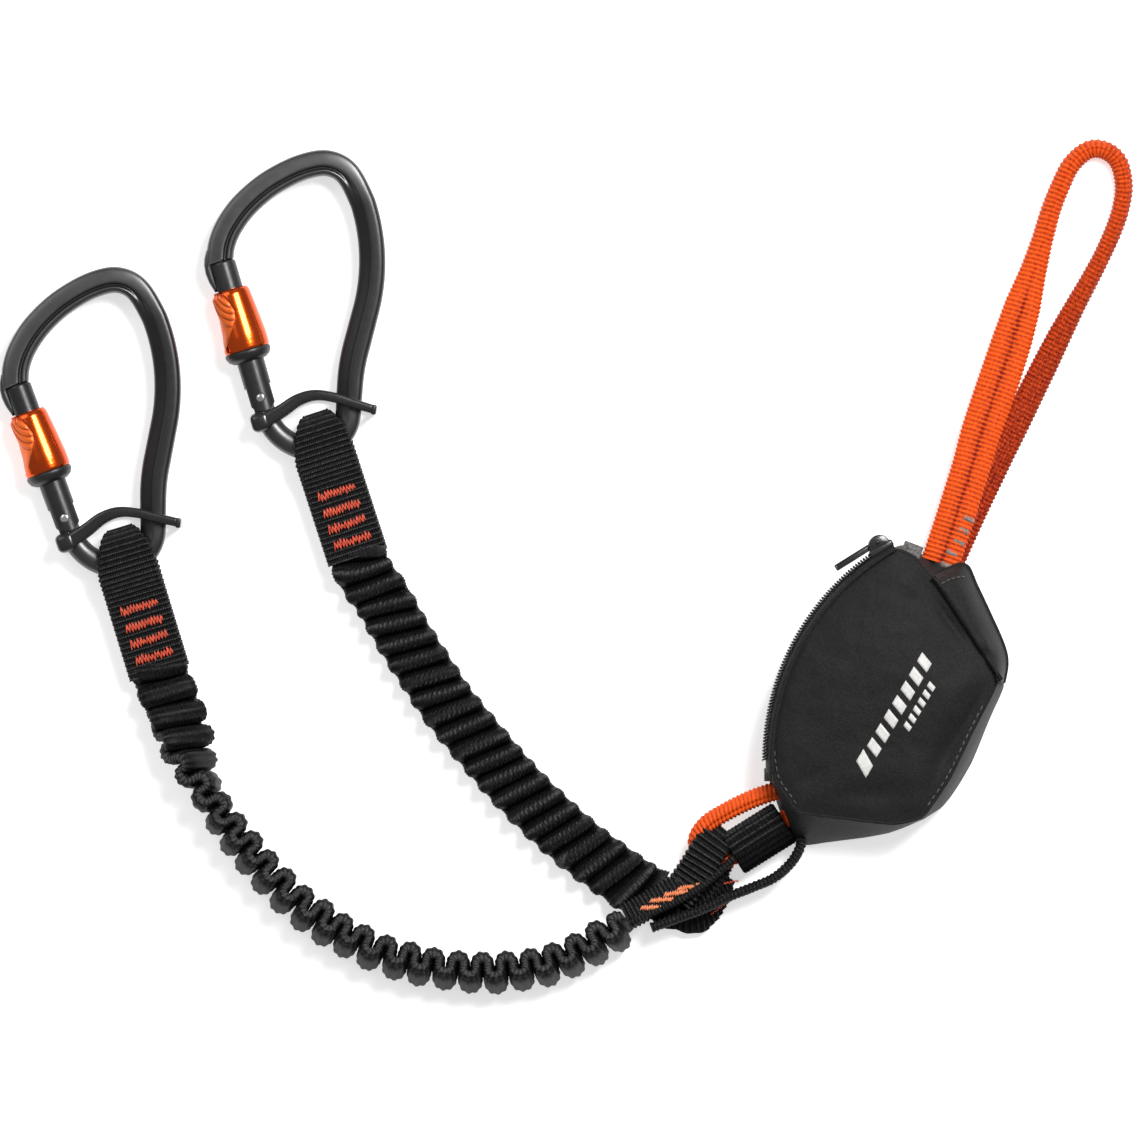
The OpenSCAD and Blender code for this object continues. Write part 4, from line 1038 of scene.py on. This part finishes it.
def panel_z(x, y):
    """Height of the front panel above the floor at a place on it."""
    x, y = np.asarray(x, float), np.asarray(y, float)
    ring = FRONT_RING - POUCH_MID
    dx, dy = x - POUCH_MID[0], y - POUCH_MID[1]
    turn = np.arctan2(ring[:, 1], ring[:, 0])
    order = np.argsort(turn)
    q = np.hypot(dx, dy) / np.interp(np.arctan2(dy, dx), turn[order], np.hypot(*ring.T)[order], period=TAU)
    crown = 31.4 + 5.0 * (1 - np.clip(q, 0, 1) ** 2.1)
    return crown + 1.5 * folds(x, y) * smoothstep(1 - q, 0.0, 0.12)


def on_panel(xy, lift=0.0):
    """Points on the front panel, or lift above it."""
    xy = np.asarray(xy, float)
    return np.concatenate([xy, panel_z(xy[..., 0], xy[..., 1])[..., None] + lift], -1)


def shrunk(ring, q):
    return POUCH_MID + (ring - POUCH_MID) * q


def pouch_objects():
    """Pouch: crowned front panel, side strip between the two outlines, and flat back."""
    fabric = M["pouch_fabric"]
    cols = len(FRONT_RING)
    rings = [on_panel(shrunk(FRONT_RING, q), -1.6) for q in (0.3, 0.97)]
    rings += [on_panel(shrunk(FRONT_RING, q)) for q in [1.0, 0.993, 0.98, *np.linspace(0.96, 0.02, 52)]]
    front = planar_uvs(outward(tube_object("pouch_panel", rings, fabric)))
    # The side strip swells between its seams, with uneven bumps
    rough = np.random.default_rng(8).normal(0, 0.5, 60)
    bumps = np.interp(np.arange(cols), np.linspace(0, cols, 60), rough, period=cols)[:, None]
    top = panel_z(*FRONT_RING.T)
    out = unit(BASE_RING - POUCH_MID)
    wall = []
    for t in np.linspace(0, 1, 26):
        swell = 1.05 * math.sin(math.pi * t) * (1 + 0.5 * bumps) + 0.35 * bumps * math.sin(TAU * t)
        p = BASE_RING + (FRONT_RING - BASE_RING) * t**1.15 + out * swell
        wall.append(np.column_stack([p, 0.6 + (top - 1.5) * t]))
    inner = [w - np.column_stack([out * 1.2, np.zeros(cols)]) for w in reversed(wall[::5])]
    side = outward(tube_object("pouch_side", wall + inner, fabric, closed=True))
    levels = ((2.0, 0.3), (2.0, 0.985), (1.0, 0.995), (0.3, 0.985), (0.3, 0.3))
    back = [np.column_stack([shrunk(BASE_RING, q), np.full(cols, z)]) for z, q in levels]
    return front, side, planar_uvs(outward(tube_object("pouch_base", back, fabric)))


def planar_uvs(obj):
    """UVs in metres, seen from straight above."""
    index = [loop.vertex_index for loop in obj.data.loops]
    co = np.array([v.co for v in obj.data.vertices])
    obj.data.uv_layers[0].data.foreach_set("uv", co[index][:, :2].ravel())
    return obj


def stitches(name, line, length, gap, radius, material, seed):
    """Row of single stitches along a line on a surface."""
    s = arc(line)
    rng = np.random.default_rng(seed)
    verts, faces, start = [], [], 0.3
    shape = stadium(2, 2, 6)
    arch = np.sin(np.linspace(0, math.pi, 6))
    r = radius * (0.55 + 0.45 * arch)[:, None]
    while start + length < s[-1]:
        own = length * rng.uniform(0.88, 1.08)
        p = np.stack([np.interp(np.linspace(start, start + own, 6), s, line[:, k]) for k in range(3)], 1)
        p[:, 2] += radius * (0.9 * arch - 0.35)
        _, across, up = frames(p)
        base = 36 * len(verts)
        verts.append(section_rings(p, across, up, shape[:, 0] * r, shape[:, 1] * r).reshape(-1, 3))
        faces += grid_faces(6, 6, True, False, base).tolist()
        faces += [[base + k for k in range(5, -1, -1)], [base + 30 + k for k in range(6)]]
        start += own + gap
    obj = make_object(name, np.vstack(verts), faces, None, material)
    box_uvs(obj.data)
    return outward(obj)


def surface_patch(name, corners, material, cells):
    """Thin printed shape on the front panel: a four-sided patch that follows its surface."""
    a, b, c, d = corners
    u = np.linspace(0, 1, cells[0] + 1)[:, None, None]
    v = np.linspace(0, 1, cells[1] + 1)[None, :, None]
    top = on_panel(a * (1 - u) * (1 - v) + b * u * (1 - v) + c * u * v + d * (1 - u) * v, 0.07)
    verts = np.vstack([top.reshape(-1, 3), (top - [0, 0, 0.3]).reshape(-1, 3)])
    rows, cols = top.shape[:2]
    faces = grid_faces(rows, cols, False).tolist()
    faces += [f[::-1] for f in grid_faces(rows, cols, False, False, rows * cols).tolist()]
    rim = [r * cols for r in range(rows)] + [(rows - 1) * cols + c for c in range(1, cols)]
    rim += [r * cols + cols - 1 for r in range(rows - 2, -1, -1)] + list(range(cols - 2, 0, -1))
    faces += [[i, j, j + rows * cols, i + rows * cols] for i, j in zip(rim, rim[1:] + rim[:1])]
    obj = outward(make_object(name, verts, faces, None, material))
    box_uvs(obj.data)
    return obj


def slab(name, top, thick, material):
    """Cloth of even thickness from rows of points on its upper face."""
    normal = unit(np.cross(np.gradient(top, axis=0), np.gradient(top, axis=1)))
    low = top - np.sign(normal[..., 2].mean()) * normal * thick
    # The two long edges are rounded: an extra point half way down
    mid = (top + low) / 2
    first, last = (mid[:, k] + (top[:, k] - top[:, near]) * 0.25 for k, near in ((0, 1), (-1, -2)))
    loop = np.concatenate([top, last[:, None], low[:, ::-1], first[:, None]], 1)
    return planar_uvs(outward(tube_object(name, loop, material)))


def flap_object():
    """Cover flap over the pouch's upper right edge, from the fold down towards the floor."""
    fold = [(142.2, -4.0), (148, -12.8), (155, -23.5), (162, -34), (168.6, -44.0)]
    # The first stretch of the outer edge is the hem across the pouch's mouth
    edge = [
        (143.6, -2.6), (148.5, -0.9), (155.8, 0.9), (160.4, -8), (165.8, -19.5), (170.8, -31), (172.0, -38),
        (170.6, -46),
    ]
    inner, outer = (resampled(spline(line, 1.0), 110) for line in (fold, edge))
    q = np.linspace(0, 1, 34)[:, None]
    along = np.linspace(0, 52, 110)
    z = 35.2 - 1.6 * np.exp(-q / 0.05) - 1.2 * q - 15.0 * q**2.4
    # Soft waves, then one raised fold with a dent beside it
    z = z + 1.1 * np.sin(along / 3.1 + 2.5 * q) * q * (1 - q)
    z = z + 0.9 * np.exp(-((along - 36) ** 2) / 18 - ((q - 0.35) ** 2) / 0.02)
    z = z - 0.8 * np.exp(-((along - 41) ** 2) / 8 - ((q - 0.3) ** 2) / 0.05)
    z = z + 0.5 * np.sin(along / 1.7) * np.exp(-((along - 39) ** 2) / 30)
    rows = np.concatenate([inner + (outer - inner) * q[..., None], z[..., None]], -1)
    hem = spline([(145.6, -6.6), (150.5, -4.4), (156.2, -3.6)], 0.5)
    near = [np.argmin(np.sum((rows[..., :2].reshape(-1, 2) - spot) ** 2, 1)) for spot in hem]
    hem = np.column_stack([hem, rows[..., 2].ravel()[near] + 0.25])
    hem = stitches("hem", hem, 1.9, 1.0, 0.28, M["seam_thread"], 6)
    bead = sweep("edge", spline(rows[-1, ::6], 0.8), stadium(1.6, 1.5, 12), M["pouch_fabric"], 1)
    flap = slab("pouch_flap", rows.transpose(1, 0, 2), 1.3, M["pouch_fabric"])
    return joined("pouch_flap", [flap, outward(bead), hem])


def zip_places(turn, r, z):
    """Points at an angle and radius about the zip's centre, and a height."""
    flat = [ZIP_CENTRE[0] + r * np.cos(turn), ZIP_CENTRE[1] + r * np.sin(turn), z + 0 * turn]
    return np.stack(flat, -1)


def zip_objects():
    """Zip tape beside the curved seam, with a row of teeth along it."""
    a = np.radians(np.linspace(119.2, 183.2, 210))
    profile = [
        (93.2, 33.2), (94.3, 33.0), (95.2, 31.6), (96.1, 29.2), (96.5, 26.0), (96.1, 22.6), (95.2, 20.8),
        (94.4, 22), (94.6, 28), (93.6, 31.8),
    ]
    r, z = np.array(profile).T
    tape = outward(tube_object("zip_band", zip_places(a[:, None], r, z), M["zip_tape"]))
    teeth = 84
    turns = np.radians(np.linspace(119.5, 180.2, teeth * 14))
    phase = np.linspace(0, teeth * TAU, len(turns))
    way = zip_places(turns, 96.7 + 0.95 * np.cos(phase), 28.2 + 1.35 * np.sin(phase))
    return tape, outward(sweep("zip_teeth", way, stadium(2, 2, 6), M["black_plastic"], 0.36))


def dome(half, low, high, count=24):
    """Outline of an arch: flat foot at low, round top at high."""
    a = np.linspace(0, math.pi, count)
    top = [(low + (high - low) * math.sin(t) ** 0.8, half * math.cos(t)) for t in a]
    return np.array([(low - 0.8, half)] + top + [(low - 0.8, -half)])


def slider_objects():
    """Zip slider with a domed bail, and its pull tag with raised edges."""
    black = M["black_plastic"]
    foot, pin = ZIP_R + 1.1, ZIP_R + 5.6
    body = [block((foot, -5.2, -4.1), (foot + 3.1, 5.2, 4.1), 1.0, black)]
    for z in (-3.9, 2.3):
        body.append(rounded_plate("cheek", dome(4.3, foot + 2.6, foot + 7.2), z, z + 1.6, 0.5, black))
    # Neck, tag, its two raised edges and its end: x from the pin, y, half height, edge
    tag = [
        block((pin + x0, y0, -half), (pin + x1, y1, half), edge, black)
        for x0, x1, y0, y1, half, edge in (
            (-1.1, 1.1, -1.1, 4.6, 1.9, 0.7), (-0.9, 0.9, 3.6, 18.8, 2.1, 0.4), (-1.3, -0.6, 3.5, 19.1, 2.3, 0.28),
            (0.6, 1.3, 3.5, 19.1, 2.3, 0.28), (-1.25, 1.25, 18.2, 19.2, 2.3, 0.4),
        )
    ]
    shaft = np.column_stack([np.full(9, pin), np.zeros(9), np.linspace(-4.2, 4.2, 9)])
    t = np.linspace(0, TAU, 20, endpoint=False)
    ring = 0.8 * np.column_stack([np.cos(t), np.sin(t), 0 * t])
    tag.append(tube_object("shaft", shaft[:, None] + ring, black))
    for obj in body + tag:
        carry(outward(obj), None, place(ZIP_CENTRE, SLIDER_AT, ZIP_Z))
    return joined("zip_slider_body", body), joined("zip_pull_tag", tag)


def rib_strap(name, points, width, thick, rib, height, edge=0.3, tilt=0.0):
    path = spline(points, 0.22)
    return outward(strap(name, path, width, thick, M["black_webbing"], rib, height, tilt, edge, seed=4))


def selvedge(name, points, radius, pitch, material):
    """Braided edge: a round cord of beads, each slanting across it."""
    line = spline(points, pitch / 9)
    a = np.arange(20) / 20 * TAU
    lobe = np.abs(np.sin(math.pi * arc(line)[:, None] / pitch + 1.5 * np.sin(a))) ** 0.7
    r = radius * (0.74 + 0.3 * lobe)
    # The beads are painted paler on their tops, as painted highlight
    return cord(name, line, r * np.cos(a), r * np.sin(a), material, 0.6 * lobe)


def fan_object():
    """Gathered end of the right arm's webbing, pressed flat under the tails."""
    rim = [
        (33.5, -138.6), (36.5, -141.6), (42, -142.2), (47.5, -143.8), (53.5, -143.2), (58.6, -138.0),
        (62.5, -131.6), (64.5, -126.0),
    ]
    hub = [(38, -131), (46, -127), (54, -122), (59, -118)]
    t = np.linspace(0, 40, 150)[:, None]
    inner, outer = (resampled(spline(line, 0.4), len(t))[:, None] for line in (hub, rim))
    q = np.linspace(0, 1, 40)
    pleat = np.sin(t * 2.6 + 3 * q)
    spot = inner + (outer - inner) * (q + 0.01 * np.sin(t) * q**3)[..., None]
    z = 7.2 - 2.2 * q**2 + 0.38 * pleat + 0.5 * np.sin(t * 9 / 40) * q
    # The pleats are painted paler on their tops, as painted highlight
    pale = 0.55 * (0.5 + 0.5 * pleat)
    fan = slab("fan", np.dstack([spot, z]), 4.2, M["black_webbing"])
    return painted(fan, np.concatenate([pale, pale[:, -1:], pale[:, ::-1], pale[:, :1]], 1))


# ================================================================ build
SIDES = ("left", "right")
for side in SIDES:
    frame_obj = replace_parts(bar_object(f"{side}_forged_frame", side), f"{side}_frame")
    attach(frame_obj, f"{side}_carabiner")
    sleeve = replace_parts(sleeve_object(f"{side}_turned_sleeve", side), f"{side}_lock_sleeve")
    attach(sleeve, f"{side}_sleeve")
    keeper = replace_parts(keeper_object(f"{side}_rubber_keeper", side), f"{side}_keeper")
    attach(keeper, f"{side}_carabiner")
    soften(f"{side}_gate", 0.5, "gate_black")
    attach(gate_end(f"{side}_gate_end", side), f"{side}_gate")
    soften(f"{side}_gate_rivet", 0.15, "steel")
    soften(f"{side}_gate_plunger", 0.15, "steel")
    soften(f"{side}_spring_ring", 0.15, "steel")
    # Each spring is a coil of round wire in the CAD spring's place; the joint, fixed end and push listed with it are
    # not used
    for node, (radius, wire, turns, low, high), joint, fixed, push in (
        ("sleeve_spring", (6.3, 0.9, 5, 21.1, 41.4), "sleeve_slide", 21.1, 6.0),
        ("gate_spring", (1.7, 0.6, 8, 9.3, 25.9), "plunger_push", 25.9, 0.75),
    ):
        spring = coil(f"{side}_{node}_coil", side, radius, wire, turns, low, high)
        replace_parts(spring, f"{side}_{node}")
        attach(spring, f"{side}_gate")
        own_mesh(spring)
    soften(f"{side}_sleeve_cap", 0.7, "cap_rubber")

    loop = end_strap(side)
    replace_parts(loop, f"{side}_end_loop", f"{side}_end_webbing")
    tacks = []
    for n, y in enumerate((-18.5, -25.2, -31.9, -38.6)):
        for face in (1, -1):
            seed, tilt = 10 * n + face + 1, 0.03 * (n % 2)
            t = zigzag("tack", (0, y), 15.2, 3.2, 0.6, 0.3, M["red_thread"], 0.0, 0, seed, tilt)
            t.data.transform(Matrix.Diagonal((1, 1, face, 1)))
            t.data.transform(Matrix.Translation((0, 0, 2.8 * face * MM)))
            tacks.append(to_web(outward(t), side))
    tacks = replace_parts(joined(f"{side}_bar_tacks", tacks), f"{side}_end_tacks")
    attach(tacks, f"{side}_end")
    web = place(WEB_AT[side], WEB_TURN[side])
    start, end = (web @ Vector((0, y, 0)) * MM for y in (-12, 8))
    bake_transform(loop)

    # The gathered sleeve starts a little way inside the sewn webbing
    route, look, pivot = ARMS[side]
    route = [tuple(web @ Vector((0, -41.0, 0.0)))] + route
    line = spline(route, 0.5)
    for part, first, last in (("upper", 0.0, ARM_CUT), ("lower", ARM_CUT, 1.0)):
        arm = pleated(f"{side}_sleeve_{part}", route, first, last, M["pleat_webbing"], 5, **look)
        # The elastic core can't be seen inside its gathered sleeve
        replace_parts(arm, f"{side}_arm_{part}", f"{side}_core_{part}")
        if part == "upper":
            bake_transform(arm)
        else:
            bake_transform(arm)

# Tails, eye, band and loops at the junction
left_tail = joined("left_tail_strap", [
    rib_strap("t", LEFT_TAIL, 11, 5.0, 1.7, 0.3, 0.3, -8),
    selvedge("s", LEFT_TAIL_EDGE, 1.6, 1.45, M["black_webbing"]),
])
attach(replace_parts(left_tail, "left_tail"), "root")
right_tail = joined("right_tail_strap", [rib_strap("t", RIGHT_TAIL, 12, 5.0, 1.7, 0.3), fan_object()])
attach(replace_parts(right_tail, "right_tail"), "root")
stitching = []
for n, (x, y, turn, length) in enumerate(
    [(32.8, -133.3, 3, 7.6), (37.1, -130.3, 5, 9.0), (42.6, -127.7, 8, 9.2), (48.0, -125.1, 12, 9.8)]
):
    z = 15.6 + 0.1 * n
    tack = zigzag("t", (x, y), length, 1.7, 0.42, 0.3, M["pale_thread"], z, turn, 40 + n, 0.5)
    stitching.append(outward(tack))
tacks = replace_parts(joined("left_tail_stitching", stitching), "left_tail_tacks")
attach(tacks, "root")
stitching = []
for n, (x, y, turn, length) in enumerate(
    [(60.6, -133.0, 36, 10.5), (59.2, -132.2, 34, 8.0), (64.4, -123.6, 12, 6.0)]
):
    stitching.append(outward(zigzag("t", (x, y), length, 0.7, 0.5, 0.24, M["red_thread"], 6.6, turn, 50 + n)))
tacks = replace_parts(joined("right_tail_stitching", stitching), "right_tail_tacks")
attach(tacks, "root")

rest = joined("rest_loop_strap", [
    rib_strap("r", REST_ROUTE + [(92.5, -106.5, 8)], 14.6, 3.0, 1.9, 0.2, 0.2, 86),
    selvedge("s", [(x, y, 14.6) for x, y, _ in REST_ROUTE] + [(92.5, -106.5, 14.4)], 1.75, 1.55, M["black_webbing"]),
])
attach(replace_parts(rest, "rest_loop"), "root")
absorber = cord_braid("absorber_braid", ABSORBER_ROUTE, 3.55, 1.7, M["orange_webbing"], 3, 0.8)
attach(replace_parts(absorber, "absorber_loop"), "root")
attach(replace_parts(band_object(), "band"), "root")
eye = rib_strap("eye_wrap", EYE_ROUTE, 14.5, 4.2, 2.35, 0.6, 0.35, -4)
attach(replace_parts(eye, "junction_eye"), "root")

# Pouch
panel, wall, base = pouch_objects()
for obj, node in ((panel, "pouch_front"), (wall, "pouch_gusset"), (base, "pouch_back")):
    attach(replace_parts(obj, node), "root")

seam = spline(on_panel(FRONT_RING, -0.5), 1.0, closed=True)
piping = outward(sweep("pouch_piping", seam, stadium(1.5, 1.3, 14), M["pouch_fabric"], 1, closed=True))
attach(piping, "root")

# Rows of stitches just inside the panel's edge, each from one point of its outline to another
seams = []
for name, first, last, length, seed in (("seam_a", 21.6, 24.7, 2.1, 3), ("seam_b", 14.6, 18.2, 2.0, 4)):
    points = shrunk(FRONT_RING, 0.972)[int(9 * first) : int(9 * last) : 3]
    seams.append(stitches(name, on_panel(spline(points, 0.5), 0.25), length, 1.0, 0.3, M["seam_thread"], seed))
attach(joined("pouch_seam_stitches", seams), "root")

flap = flap_object()
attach(flap, "root")
tape, teeth = zip_objects()
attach(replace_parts(tape, "zip_tape"), "root")
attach(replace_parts(teeth, "zip_coil"), "root")
slider, pull = slider_objects()
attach(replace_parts(slider, "zip_slider"), "zip_slider")
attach(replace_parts(pull, "zip_pull"), "zip_pull")

# A plain pale mark of slanting bars: (place along the mark, length, low edge, high edge, lean)
start = np.array([113.5, -80.5])
way = np.array([math.cos(math.radians(59.5)), math.sin(math.radians(59.5))])
across = np.array([-way[1], way[0]])
bars = [(0, 5.5, -3.4, 3.2, 3.8)] + [(9 + 6.4 * k, 4.0, -2.9, 2.6, 2.0) for k in range(7)]
bars += [(24 + 3.6 * k, 2.2, -8.8, -5.6, 1.0) for k in range(6)]
marks = []
for along, length, low, high, lean in bars:
    corners = ((0, low), (length, low), (length + lean, high), (lean, high))
    corners = [start + way * (along + a) + across * b for a, b in corners]
    marks.append(surface_patch("bar", corners, M["print_pale"], (max(2, int(length)), 6)))
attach(joined("pouch_mark", marks), "root")

# Harness loop and its tacks
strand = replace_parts(harness_object(), "harness_loop")
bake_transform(strand)
tacks = []
for n, spot in enumerate([(148.4, 0.6), (150.6, 5.4), (153.4, 9.6), (155.0, 14.2), (157.3, 18.6)]):
    tack = zigzag("t", spot, 4.2, 1.9, 0.3, 0.34, M["grey_thread"], 18.7 - 0.12 * n, -21, 60 + n)
    tacks.append(outward(tack))
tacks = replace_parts(joined("harness_stitching", tacks), "harness_tacks")
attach(tacks, "harness_loop")

# Finishes of the CAD nodes that stay in view
for node, finish in (("top_tab", "grey_tape"), ("side_tab", "grey_tape"), ("tear_webbing", "orange_webbing")):
    soften(node, 0.3, finish)

# ---------------------------------------------------------------- floor, light and camera
floor_mesh = bpy.data.meshes.new("floor")
corners = [(-4, -4, -0.0003), (4, -4, -0.0003), (4, 4, -0.0003), (-4, 4, -0.0003)]
floor_mesh.from_pydata(corners, [], [(0, 1, 2, 3)])
paper = plain("floor_white", (0.86, 0.86, 0.86), (0.88, 0.88, 0.88), 0.7, 0.0, 3, 40, 0.00001)
shader = paper.node_tree.nodes["Principled BSDF"]
shader.inputs["Emission Color"].default_value = (1, 1, 1, 1)
shader.inputs["Emission Strength"].default_value = 0.56
floor = link("floor", floor_mesh, paper)

world = bpy.data.worlds.new("studio")
bpy.context.scene.world = world
world.use_nodes = True
sky = world.node_tree.nodes["Background"]
sky.inputs["Color"].default_value = (1, 1, 1, 1)
sky.inputs["Strength"].default_value = 0.3


def softbox(name, direction, distance, size, power):
    """Rectangular lamp that faces the middle of the set."""
    light = bpy.data.lights.new(name, "AREA")
    light.shape = "RECTANGLE"
    light.size, light.size_y = size
    light.energy = power
    obj = link(name, light)
    obj.location = Vector(direction).normalized() * distance
    obj.rotation_euler = Vector(direction).to_track_quat("Z", "Y").to_euler()
    return obj


key = softbox("key", (0.33, 0.4, 0.86), 1.6, (0.45, 0.6), 28)
fill = softbox("fill", (-0.6, 0.4, 0.7), 1.6, (0.8, 0.8), 4)
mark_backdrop(floor, key, fill)

# The view is as wide as the laid-out set and its margins, in metres
CAMERA_HEIGHT = 4.0
VIEW_WIDTH = 1134 * 0.000393
lens = bpy.data.cameras.new("camera")
lens.type = "PERSP"
lens.sensor_width = 36
lens.lens = lens.sensor_width * CAMERA_HEIGHT / VIEW_WIDTH
camera = link("camera", lens)
camera.location = (0, 0, CAMERA_HEIGHT)
bpy.context.scene.camera = camera
bpy.context.scene.view_settings.view_transform = "Standard"

low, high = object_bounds()
